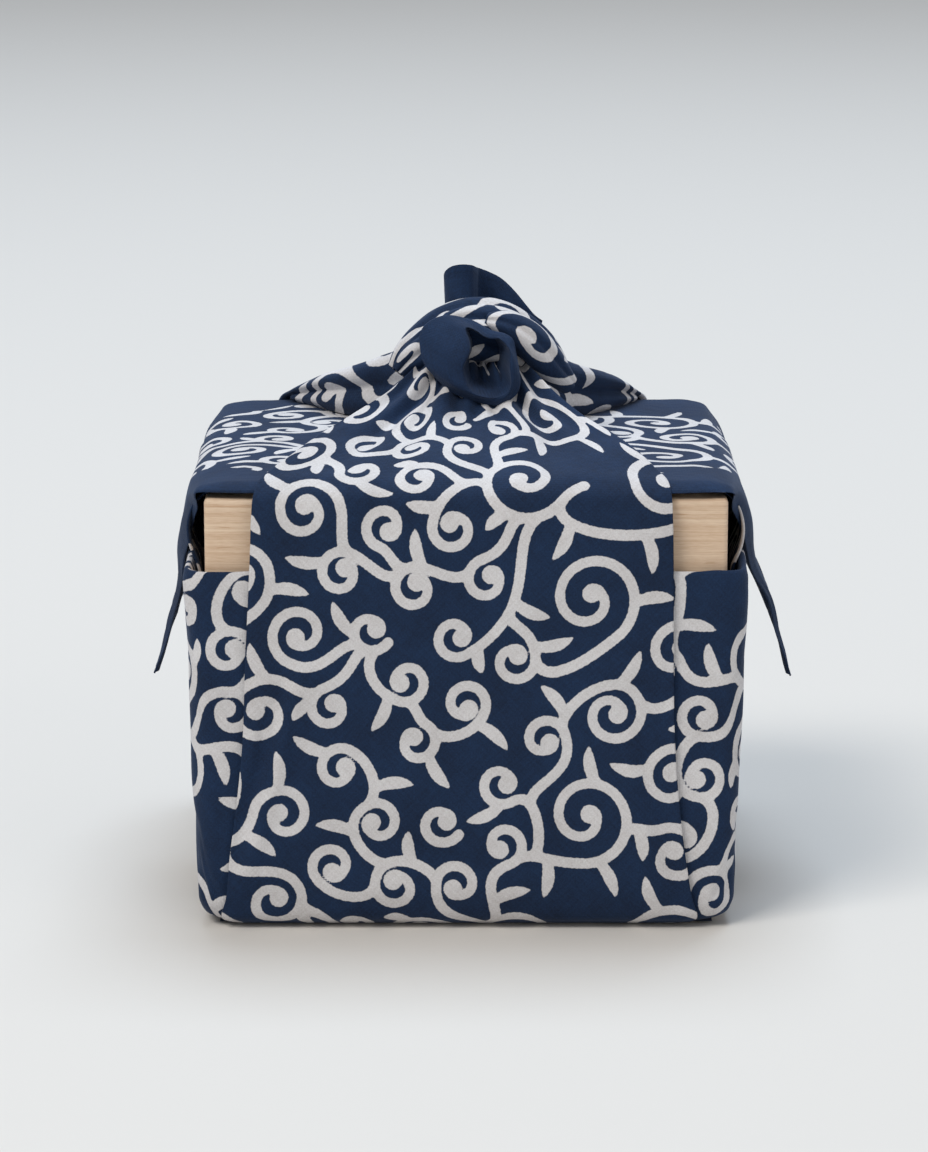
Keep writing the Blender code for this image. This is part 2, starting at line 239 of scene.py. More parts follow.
@dataclass
class VinePrint:
    """The scroll-vine print, grown afresh in one square repeat that joins up with itself.

    Scrolls are packed first. Each is then joined to a neighbour by the stem that bends least and keeps
    clear of the rest, and horn leaves fork off into what room is left.
    """

    repeat: float = 168.0
    cell: float = 0.42
    open_gap: float = 12.0  # the widest gap that is kept track of, mm
    bulb_centre: float = 2.0  # the radius at which a spiral ends, mm
    stem_half: float = 1.9
    bulb_half: float = 3.3
    clear: float = 3.1
    seed: int = 11
    sizes: tuple[ScrollSize, ...] = (
        ScrollSize(16.5, 4, 12.0, 1.36, 1.2),
        ScrollSize(10.6, 10, 4.0, 1.08, 1.25),
        ScrollSize(7.4, 40, 0.0, 0.86, 1.6),
    )
    leaf_lengths: tuple[float, ...] = (12.5, 10.5, 8.5)
    leaf_spacing: float = 17.0
    most_leaves: int = 40
    fork_lean: float = 22.0  # how far a stem turns as it leaves its parent, degrees
    too_costly: float = 900.0

    def __post_init__(self) -> None:
        """Grow the repeat."""
        self.draws = np.random.default_rng(self.seed)
        self.count = int(round(self.repeat / self.cell))
        self.cell = self.repeat / self.count
        self.gaps = np.full((self.count, self.count), self.open_gap)
        self.scrolls = self.pack_scrolls()
        self.grow_stems()
        self.leaves = self.grow_leaves()

    def wrapped(self, delta: np.ndarray) -> np.ndarray:
        """Return the shortest offset between two places of the repeat."""
        return (delta + self.repeat / 2.0) % self.repeat - self.repeat / 2.0

    def pack_scrolls(self) -> list[Scroll]:
        """Place scrolls, largest first, each nestled against those already there.

        Returns:
            The scrolls, without their stems.
        """
        placed: list[Scroll] = []
        for size in self.sizes:
            for _ in range(size.most):
                spots = self.draws.uniform(0.0, self.repeat, (2500, 2))
                if not placed:
                    placed.append(Scroll(spots[0], size.radius))
                    continue
                centres = np.array([s.centre for s in placed])
                radii = np.array([s.radius for s in placed])
                apart = np.linalg.norm(self.wrapped(spots[:, None] - centres[None]), axis=2)
                gap = apart - radii - size.radius - 2.0 * self.stem_half - self.clear
                nearest = np.sort(gap, axis=1)[:, :3]
                nearest = np.pad(nearest, ((0, 0), (0, 3 - nearest.shape[1])), mode="edge")
                score = np.abs(nearest[:, 0] - size.room) + nearest[:, 1:] @ np.array((0.6, 0.3))
                score[nearest[:, 0] < 0.0] = np.inf
                best = int(np.argmin(score))
                if not np.isfinite(score[best]):
                    break
                placed.append(Scroll(spots[best], size.radius))
        return placed

    def spiral(self, scroll: Scroll) -> np.ndarray:
        """Return the centre line of a scroll, from its outer end to its bulb.

        Args:
            scroll: the scroll.

        Returns:
            The line's points, mm.
        """
        size = next(s for s in self.sizes if s.radius == scroll.radius)
        t = np.linspace(0.0, 1.0, 90)
        radius = scroll.radius + (self.bulb_centre - scroll.radius) * t**size.tightening
        angle = scroll.start + scroll.hand * 2.0 * math.pi * size.turns * t
        return scroll.centre + np.stack([radius * np.cos(angle), radius * np.sin(angle)], axis=1)

    def stamp(self, points: np.ndarray, halves: np.ndarray) -> None:
        """Draw a stroke as overlapping round dabs.

        Args:
            points: the dabs' centres, mm.
            halves: their radii, mm.
        """
        cells = int(self.open_gap / self.cell)
        reach = np.arange(-cells, cells + 1)
        for (x, y), half in zip(points, halves):
            across = int(round(x / self.cell)) + reach
            up = int(round(y / self.cell)) + reach
            gap = np.hypot((across * self.cell - x)[:, None], (up * self.cell - y)[None]) - half
            place = np.ix_(across % self.count, up % self.count)
            self.gaps[place] = np.minimum(self.gaps[place], gap)

    @staticmethod
    def spaced(points: np.ndarray, step: float) -> tuple[np.ndarray, np.ndarray]:
        """Respace a line's points.

        Args:
            points: the line.
            step: the spacing wanted, mm.

        Returns:
            The new points, and how far along each is, mm.
        """
        run = np.concatenate([[0.0], np.cumsum(np.linalg.norm(np.diff(points, axis=0), axis=1))])
        at = np.linspace(0.0, run[-1], max(2, int(run[-1] / step)))
        return np.stack([np.interp(at, run, points[:, i]) for i in (0, 1)], axis=1), at

    def draw_scroll(self, scroll: Scroll) -> None:
        """Draw a scroll and its stem: an even stroke that swells to a bulb at its inner end.

        Args:
            scroll: the scroll, with its path.
        """
        points, run = self.spaced(scroll.path, 0.45)
        left = run[-1] - run
        half = self.stem_half * (1.0 - 0.1 * run / run[-1])
        half += (self.bulb_half - half) * np.exp(-((left / 2.6) ** 2))
        self.stamp(points, half)

    def gap_at(self, points: np.ndarray) -> np.ndarray:
        """Return the distance from each place to the nearest stroke's edge, to the nearest cell."""
        cell = np.round(points / self.cell).astype(int) % self.count
        return self.gaps[cell[..., 0], cell[..., 1]]

    def grow_stems(self) -> None:
        """Join the scrolls one by one, always the nearest to what is drawn, and draw them."""
        root = self.scrolls[0]
        out = np.array((math.cos(root.start), math.sin(root.start)))
        tangent = root.hand * np.array((-out[1], out[0]))
        back = np.linspace(9.0, 0.5, 12)[:, None]
        tail = root.centre + out * (root.radius + (back / 9.0) ** 2 * 3.0) - tangent * back
        root.path = np.concatenate([tail, self.spiral(root)])
        self.draw_scroll(root)
        done, waiting = [0], list(range(1, len(self.scrolls)))
        while waiting:
            ranked = sorted((self.space_between(i, j), i, j) for i in waiting for j in done)
            child = ranked[0][1]
            parents = [j for _, i, j in ranked if i == child][:4]
            found = [stem for j in parents if (stem := self.best_stem(child, j, waiting))]
            scroll = self.scrolls[child]
            if found:
                _, scroll.hand, scroll.start, stem, shift = min(found, key=lambda f: f[0])
                scroll.centre = scroll.centre + shift
                scroll.path = np.concatenate([stem[:-1], self.spiral(scroll)])
            else:
                scroll.path = self.spiral(scroll)
            self.draw_scroll(scroll)
            waiting.remove(child)
            done.append(child)

    def space_between(self, i: int, j: int) -> float:
        """Return the gap between two scrolls, with the largest scrolls ranked nearer.

        Args:
            i: the new scroll's number.
            j: the drawn scroll's number.

        Returns:
            The gap, mm.
        """
        a, b = self.scrolls[i], self.scrolls[j]
        first = 3.0 if a.radius == self.sizes[0].radius else 0.0
        return float(np.linalg.norm(self.wrapped(a.centre - b.centre)) - a.radius - b.radius - first)

    def heading(self, path: np.ndarray) -> np.ndarray:
        """Return the unit direction of a line at each of its points."""
        ahead = np.gradient(path, axis=0)
        return ahead / np.linalg.norm(ahead, axis=1, keepdims=True)

    def best_stem(
        self, child: int, parent: int, waiting: list[int]
    ) -> tuple[float, int, float, np.ndarray, np.ndarray] | None:
        """Find the stem that bends least from a drawn scroll to a new one.

        Args:
            child: the new scroll.
            parent: the drawn scroll that it may fork from.
            waiting: every scroll still to come, whose places are kept clear.

        Returns:
            The stem's cost, the child's hand and start angle, the stem's points and the child's shift to
            the nearest copy of the repeat, or None where no stem fits.
        """
        new, old = self.scrolls[child], self.scrolls[parent]
        shift = self.wrapped(new.centre - old.centre) + old.centre - new.centre
        centre = new.centre + shift
        path, _ = self.spaced(old.path, 1.5)
        forks = np.arange(1, int(len(path) * (0.62 if old.radius > 9.0 else 0.55)), 2)
        ahead = self.heading(path)
        outwards = path - old.centre
        side = np.sign(ahead[:, 0] * outwards[:, 1] - ahead[:, 1] * outwards[:, 0])[forks, None]
        lean = math.radians(self.fork_lean)
        turned = np.stack([-ahead[forks, 1], ahead[forks, 0]], axis=1) * side
        leaving = ahead[forks] * math.cos(lean) + turned * math.sin(lean)
        fork, start, hand = (
            grid.ravel()
            for grid in np.meshgrid(
                np.arange(len(forks)),
                np.linspace(0.0, 2.0 * math.pi, 36, endpoint=False),
                (-1, 1),
                indexing="ij",
            )
        )
        first, leaving = path[forks][fork], leaving[fork]
        out = np.stack([np.cos(start), np.sin(start)], axis=1)
        last = centre + out * new.radius
        arriving = hand[:, None] * np.stack([-out[:, 1], out[:, 0]], axis=1)
        span = np.linalg.norm(last - first, axis=1, keepdims=True)
        t = np.linspace(0.0, 1.0, 22)[None, :, None]
        best = None
        for pull_out, pull_in in ((0.38, 0.38), (0.5, 0.5), (0.3, 0.6)):
            near, far = first + leaving * span * pull_out, last - arriving * span * pull_in
            curve = (1 - t) ** 3 * first[:, None] + 3 * (1 - t) ** 2 * t * near[:, None]
            curve = curve + 3 * (1 - t) * t**2 * far[:, None] + t**3 * last[:, None]
            cost = self.stem_cost(curve, child, centre, waiting)
            i = int(np.argmin(cost))
            if cost[i] < self.too_costly and (best is None or cost[i] < best[0]):
                best = (float(cost[i]), int(hand[i]), float(start[i]), curve[i].copy(), shift)
        return best

    def stem_cost(
        self, curve: np.ndarray, child: int, centre: np.ndarray, waiting: list[int]
    ) -> np.ndarray:
        """Rate stems by how hard they bend and how far they crowd what is drawn or still to come.

        Args:
            curve: the stems' points, one row of points for each stem.
            child: the scroll that they lead to.
            centre: where that scroll lies.
            waiting: every scroll still to come.

        Returns:
            A cost for each stem; over too_costly it doesn't fit.
        """
        pieces = np.diff(curve, axis=1)
        length = np.linalg.norm(pieces, axis=2)
        angle = np.arctan2(pieces[..., 1], pieces[..., 0])
        bend = np.abs((np.diff(angle, axis=1) + math.pi) % (2.0 * math.pi) - math.pi)
        curving = bend / (0.5 * (length[:, 1:] + length[:, :-1]) + 1e-6)
        run = np.concatenate([np.zeros((len(curve), 1)), np.cumsum(length, axis=1)], axis=1)
        wanted = self.clear * np.clip((run - 4.0) / 5.0, 0.0, 1.0)
        crowding = np.maximum(0.0, wanted - self.gap_at(curve) + self.stem_half) * (run > 4.5)
        for k in waiting:
            if k != child:
                other = self.scrolls[k]
                apart = np.linalg.norm(self.wrapped(curve - other.centre), axis=2)
                crowding += np.maximum(0.0, other.radius + 2.0 * self.stem_half + 1.4 - apart)
        inside = self.scrolls[child].radius - np.linalg.norm(curve - centre, axis=2)
        crowding += np.maximum(0.0, inside - 0.4)
        worst = crowding.max(axis=1)
        bending = 26.0 * (bend * curving).sum(axis=1) + 60.0 * np.maximum(0.0, curving.max(axis=1) - 0.22)
        return bending + 0.1 * length.sum(axis=1) + 30.0 * worst + 1000.0 * (worst > 0.9)

    @staticmethod
    def leaf_half(along: np.ndarray) -> np.ndarray:
        """Return a horn leaf's half width: full for most of its length, then drawn to a blunt point."""
        return 1.55 + 0.75 * np.sin(math.pi * along**1.3) - 1.25 * along**5

    def grow_leaves(self) -> int:
        """Fork horn leaves off the stems into the widest gaps left.

        Returns:
            How many leaves were drawn.
        """
        t = np.linspace(0.0, 1.0, 9)
        trial = []
        for scroll in self.scrolls:
            path, _ = self.spaced(scroll.path, 2.0)
            ahead = self.heading(path)
            for i in range(1, int(len(path) * 0.62)):
                across = np.array((-ahead[i, 1], ahead[i, 0]))
                for side in (-1.0, 1.0):
                    for lean in (0.6, 0.95):
                        way = ahead[i] * math.cos(lean) + across * side * math.sin(lean)
                        curl = np.array((-way[1], way[0])) * side
                        for size in self.leaf_lengths:
                            for turn in (0.5, -0.45):
                                trial.append((path[i], way * size, curl * turn * size, size))
        base, way, curl, size = (np.array([row[i] for row in trial]) for i in range(4))
        points = base[:, None] + way[:, None] * t[None, :, None] + curl[:, None] * t[None, :, None] ** 2
        half = self.leaf_half(t)
        fine = np.linspace(0.0, 1.0, 40)
        made = 0
        while made < self.most_leaves and len(base):
            room = np.clip((t[None] * size[:, None] - 3.2) / 4.5, 0.0, 1.0)
            gap = self.gap_at(points) - half - (self.clear - 0.5) * room + 5.0 * (1.0 - room)
            tight = gap.min(axis=1)
            score = np.where(tight > 0.0, size + 0.3 * tight, -1.0)
            best = int(np.argmax(score))
            if score[best] < 0.0:
                break
            line = base[best] + way[best] * fine[:, None] + curl[best] * fine[:, None] ** 2
            self.stamp(line, self.leaf_half(fine))
            apart = np.linalg.norm(self.wrapped(base - base[best]), axis=1)
            free = apart > self.leaf_spacing
            base, way, curl, size, points = (part[free] for part in (base, way, curl, size, points))
            made += 1
        return made

    def distance(self, flat: np.ndarray) -> np.ndarray:
        """Return how far places of the flat cloth lie from the print's edge; inside it is negative.

        Args:
            flat: places in the flat cut, mm, in the last axis.

        Returns:
            The distance at each place, mm. It stays above zero in the plain border.
        """
        cell = (flat + 4.0 * self.repeat) / self.cell
        low = np.floor(cell).astype(int)
        share = cell - low
        value = np.zeros(flat.shape[:-1])
        for dx in (0, 1):
            for dy in (0, 1):
                weight = np.abs(1 - dx - share[..., 0]) * np.abs(1 - dy - share[..., 1])
                value += weight * self.gaps[(low[..., 0] + dx) % self.count, (low[..., 1] + dy) % self.count]
        edge = (CORNER_REACH - np.abs(flat[..., 0]) - np.abs(flat[..., 1])) / math.sqrt(2.0)
        return np.maximum(value, BORDER - edge)


def add_node(
    tree: bpy.types.NodeTree,
    kind: str,
    links: dict[Any, Any] | None = None,
    out: int | str = 0,
    **settings: Any,
) -> Any:
    """Add a shader node, set it up and link its inputs.

    Args:
        tree: the material's node tree.
        kind: the node's type, without "ShaderNode".
        links: input name or number to an output socket to link, or a value to set.
        out: which output to return.
        settings: the node's own properties.

    Returns:
        The output asked for.
    """
    node = tree.nodes.new("ShaderNode" + kind)
    for name, value in settings.items():
        setattr(node, name, value)
    for name, value in (links or {}).items():
        if isinstance(value, bpy.types.NodeSocket):
            tree.links.new(value, node.inputs[name])
        else:
            node.inputs[name].default_value = value
    return node.outputs[out] if node.outputs else None


def new_material(name: str, **looks: Any) -> tuple[bpy.types.Material, bpy.types.NodeTree, Any]:
    """Make a node material with a Principled shader linked to its output.

    Args:
        name: the material's name.
        looks: the shader's own inputs, with _ in place of a space.

    Returns:
        The material, its node tree and the shader's inputs.
    """
    material = bpy.data.materials.new(name)
    material.use_nodes = True
    tree = material.node_tree
    tree.nodes.clear()
    inputs = {look.replace("_", " "): value for look, value in looks.items()}
    shader = add_node(tree, "BsdfPrincipled", inputs)
    add_node(tree, "OutputMaterial", {"Surface": shader})
    return material, tree, shader.node.inputs


@dataclass(frozen=True)
class PrintedCotton:
    """Plain-weave cotton, indigo with a light grey resist print: matt, a little fuzzy, slightly slubby."""

    name: str = "cotton plain weave indigo printed"
    indigo: str = "#0d1b31"
    indigo_worn: str = "#193152"
    print_grey: str = "#dddcdd"
    print_shade: str = "#bdb9b8"
    thread_mm: float = 0.7  # real threads lie 0.45 mm apart; drawn coarser so that the weave shows
    stitch_mm: float = 3.6
    stitch_wide_mm: float = 1.0
    stitch_share: float = 0.7  # how much of each stitch's length shows on this face
    slub_mm: float = 8.0
    slub_drawn_out: float = 9.0
    print_ragged_mm: float = 0.55  # how far the paste's edge strays
    print_soft_mm: float = 0.16  # half the width over which the paste fades into the ground
    fuzz: str = "#b9c8e6"  # the light that stray fibres catch

    def make(self) -> bpy.types.Material:
        """Build the material.

        Returns:
            The material.
        """
        material, tree, shader = new_material(
            self.name, Roughness=0.86, Sheen_Weight=0.13, Sheen_Roughness=0.45,
            Sheen_Tint=linear_colour(self.fuzz), Specular_IOR_Level=0.25,
        )
        flat = add_node(tree, "UVMap", uv_map="flat")
        to_threads = {"Vector": flat, "Rotation": (0.0, 0.0, math.radians(45.0))}
        threads = add_node(tree, "Mapping", to_threads)
        long = self.slub_drawn_out
        warp, weft = (
            add_node(tree, "Mapping", {"Vector": threads, "Scale": stretch})
            for stretch in ((1.0, long, 1.0), (long, 1.0, 1.0))
        )
        noises = []
        for where, size_mm, detail in (
            (flat, 1.1, 3.0), (flat, 26.0, 4.0), (flat, 0.55, 2.0), (flat, 5.5, 3.0),
            (warp, self.slub_mm, 2.0), (weft, self.slub_mm, 2.0),
        ):
            grain = {"Vector": where, "Scale": 1.0 / (size_mm * MM), "Detail": detail, "Roughness": 0.55}
            noises.append(add_node(tree, "TexNoise", grain, noise_dimensions="2D"))
        bleed, worn, fleck, crumple, *runs = noises
        gap = add_node(tree, "Attribute", out="Fac", attribute_name="print_gap")
        spread = self.print_ragged_mm
        ragged = add_node(tree, "Math", {0: bleed, 1: spread, 2: -spread / 2.0}, operation="MULTIPLY_ADD")
        edge = add_node(tree, "Math", {0: gap, 1: ragged}, operation="ADD")
        fade = {"Value": edge, "From Min": self.print_soft_mm, "From Max": -self.print_soft_mm}
        inked = add_node(tree, "MapRange", fade, interpolation_type="SMOOTHSTEP")
        slub = add_node(tree, "Math", {0: runs[0], 1: runs[1]}, operation="ADD")
        slub = add_node(tree, "Math", {0: slub, 1: 0.5}, operation="MULTIPLY")
        shade = add_node(tree, "Math", {0: fleck, 1: 0.6}, operation="MULTIPLY")
        for part, weight in ((slub, 0.6), (worn, 0.5)):
            shade = add_node(tree, "Math", {0: part, 1: weight, 2: shade}, operation="MULTIPLY_ADD")
        tones = []
        for low, high, first, second in (
            (0.55, 1.15, self.indigo, self.indigo_worn),
            (1.15, 0.55, self.print_grey, self.print_shade),
        ):
            share = add_node(tree, "MapRange", {"Value": shade, "From Min": low, "From Max": high})
            pair = {"Factor": share, "A": linear_colour(first), "B": linear_colour(second)}
            tones.append(add_node(tree, "Mix", pair, "Result", data_type="RGBA"))
        colours = {"Factor": inked, "A": tones[0], "B": tones[1]}
        tree.links.new(add_node(tree, "Mix", colours, "Result", data_type="RGBA"), shader["Base Color"])
        yarn = {0: slub, 1: 0.6, 2: self.weave(tree, threads)}
        height = add_node(tree, "Math", yarn, operation="MULTIPLY_ADD")
        stitches = {0: self.stitch_line(tree, flat), 1: -3.2, 2: height}
        height = add_node(tree, "Math", stitches, operation="MULTIPLY_ADD")
        fine = add_node(tree, "Bump", {"Height": height, "Distance": 0.08 * MM, "Strength": 0.75})
        soft = {"Height": crumple, "Distance": 0.6 * MM, "Strength": 0.45, "Normal": fine}
        tree.links.new(add_node(tree, "Bump", soft), shader["Normal"])
        return material

    def weave(self, tree: bpy.types.NodeTree, threads: Any) -> Any:
        """Return the over-and-under of a plain weave, from 0 to 1.

        Args:
            tree: the material's node tree.
            threads: place in the cloth, along its threads.

        Returns:
            The height's output.
        """
        place = add_node(tree, "SeparateXYZ", {"Vector": threads}).node.outputs
        waves = {}
        for i, axis in enumerate("XY"):
            turn = {0: place[axis], 1: math.pi / (self.thread_mm * MM)}
            turned = add_node(tree, "Math", turn, operation="MULTIPLY")
            waves[i] = add_node(tree, "Math", {0: turned}, operation="SINE")
        crossing = add_node(tree, "Math", waves, operation="MULTIPLY")
        return add_node(tree, "Math", {0: crossing, 1: 0.5, 2: 0.5}, operation="MULTIPLY_ADD")

    def stitch_line(self, tree: bpy.types.NodeTree, flat: Any) -> Any:
        """Return 1 in the small dents of the hem's stitching and 0 elsewhere.

        Args:
            tree: the material's node tree.
            flat: place in the flat cloth.

        Returns:
            The dents' output.
        """
        place = add_node(tree, "SeparateXYZ", {"Vector": flat}).node.outputs
        across, up = (add_node(tree, "Math", {0: place[axis]}, operation="ABSOLUTE") for axis in "XY")
        stitching = (CORNER_REACH - HEM * 0.85 * math.sqrt(2.0)) * MM
        reach = add_node(tree, "Math", {0: across, 1: up}, operation="ADD")
        inset = add_node(tree, "Math", {0: stitching, 1: reach}, operation="SUBTRACT")
        inset = add_node(tree, "Math", {0: inset}, operation="ABSOLUTE")
        near = add_node(tree, "Math", {0: inset, 1: 0.5 * self.stitch_wide_mm * MM}, operation="LESS_THAN")
        run = add_node(tree, "Math", {0: across, 1: up}, operation="SUBTRACT")
        run = add_node(tree, "Math", {0: run, 1: 1.0 / (self.stitch_mm * MM)}, operation="MULTIPLY")
        run = add_node(tree, "Math", {0: run}, operation="FRACT")
        dash = add_node(tree, "Math", {0: run, 1: self.stitch_share}, operation="LESS_THAN")
        return add_node(tree, "Math", {0: near, 1: dash}, operation="MULTIPLY")


@dataclass(frozen=True)
class PlanedPine:
    """Planed, unvarnished pine: pale, matt, with fine straight grain that runs level round the box."""

    name: str = "pine planed"
    early: str = "#e0c8ad"
    late: str = "#bf9c7c"
    rings_mm: tuple[float, float] = (62.5, 1.111)  # along the grain and across it
    pores_mm: tuple[float, float] = (3.333, 0.3846)
    streaks_mm: tuple[float, float] = (11.11, 0.6667)

    def make(self) -> bpy.types.Material:
        """Build the material.

        Returns:
            The material.
        """
        material, tree, shader = new_material(self.name, Roughness=0.62)
        place = add_node(tree, "TexCoord", out="Object")
        patterns = []
        for (long_mm, wide_mm), detail, rough in (
            (self.rings_mm, 5.0, 0.6),
            (self.pores_mm, 2.0, 0.5),
            (self.streaks_mm, 1.0, 0.5),
        ):
            scale = (1.0 / (long_mm * MM), 1.0 / (long_mm * MM), 1.0 / (wide_mm * MM))
            drawn = add_node(tree, "Mapping", {"Vector": place, "Scale": scale})
            grain = {"Vector": drawn, "Scale": 1.0, "Detail": detail, "Roughness": rough}
            patterns.append(add_node(tree, "TexNoise", grain))
        rings, speck, streak = patterns
        tone = add_node(tree, "Math", {0: speck, 1: 0.35, 2: rings}, operation="MULTIPLY_ADD")
        darkest = {"Value": streak, "From Min": 0.64, "From Max": 0.76, "To Max": 0.3}
        dark = add_node(tree, "MapRange", darkest)
        tone = add_node(tree, "Math", {0: tone, 1: dark}, operation="ADD")
        share = add_node(tree, "MapRange", {"Value": tone, "From Min": 0.5, "From Max": 0.95})
        pair = {"Factor": share, "A": linear_colour(self.early), "B": linear_colour(self.late)}
        tree.links.new(add_node(tree, "Mix", pair, "Result", data_type="RGBA"), shader["Base Color"])
        bump = add_node(tree, "Bump", {"Height": tone, "Distance": 0.2 * MM, "Strength": 0.5})
        tree.links.new(bump, shader["Normal"])
        return material


@dataclass(frozen=True)
class StudioFloor:
    """Matt painted board, pale and plain."""

    name: str = "studio floor matt paint"
    colour: str = "#d6d2cc"

    def make(self) -> bpy.types.Material:
        """Build the material."""
        return new_material(self.name, Roughness=0.9, Base_Color=linear_colour(self.colour))[0]


def sheet_normals(points: np.ndarray, away_from: Sequence[float]) -> np.ndarray:
    """Return the unit normal at each point of a grid, turned away from a place inside.

    Args:
        points: a grid of points, mm.
        away_from: a place that the sheet faces away from, mm.

    Returns:
        One normal for each point.
    """
    normal = np.cross(np.gradient(points, axis=1), np.gradient(points, axis=0))
    normal /= np.maximum(np.linalg.norm(normal, axis=2, keepdims=True), 1e-9)
    facing = np.sum(normal * (points - np.array(away_from)))
    return normal if facing > 0.0 else -normal


@dataclass
class ClothSheet:
    """A stretch of the cloth: a fine grid of points, and where each lies in the flat cut."""

    name: str
    points: np.ndarray
    flat: np.ndarray
    held: str
    inside: tuple[float, float, float] = BUNDLE_MIDDLE

    def build(self, vine: VinePrint, material: bpy.types.Material) -> bpy.types.Object:
        """Args:
            vine: the print.
            material: the cloth's finish.

        Returns:
            The piece.
        """
        rows, columns = self.points.shape[:2]
        index = np.arange(rows * columns).reshape(rows, columns)
        quads = np.stack([index[:-1, :-1], index[:-1, 1:], index[1:, 1:], index[1:, :-1]], axis=-1)
        normal = np.cross(np.gradient(self.points, axis=1), np.gradient(self.points, axis=0))
        if np.sum(normal * (self.points - np.array(self.inside))) < 0.0:
            quads = quads[..., ::-1]
        quads = quads.reshape(-1, 4)
        mesh = bpy.data.meshes.new(self.name)
        mesh.from_pydata((self.points.reshape(-1, 3) * MM).tolist(), [], quads.tolist())
        uv = mesh.uv_layers.new(name="flat")
        uv.data.foreach_set("uv", (self.flat.reshape(-1, 2)[quads.ravel()] * MM).astype(np.float32).ravel())
        gap = mesh.attributes.new("print_gap", "FLOAT", "POINT")
        gap.data.foreach_set("value", vine.distance(self.flat).astype(np.float32).ravel())
        mesh.materials.append(material)
        mesh.shade_smooth()
        mesh.update()
        piece = bpy.data.objects.new(self.name, mesh)
        bpy.context.scene.collection.objects.link(piece)
        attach(piece, "root")
        return piece


class SideRow(NamedTuple):
    """One level of the side layers' outer face."""

    height: float
    half_width: float
    half_depth: float
    corner: float


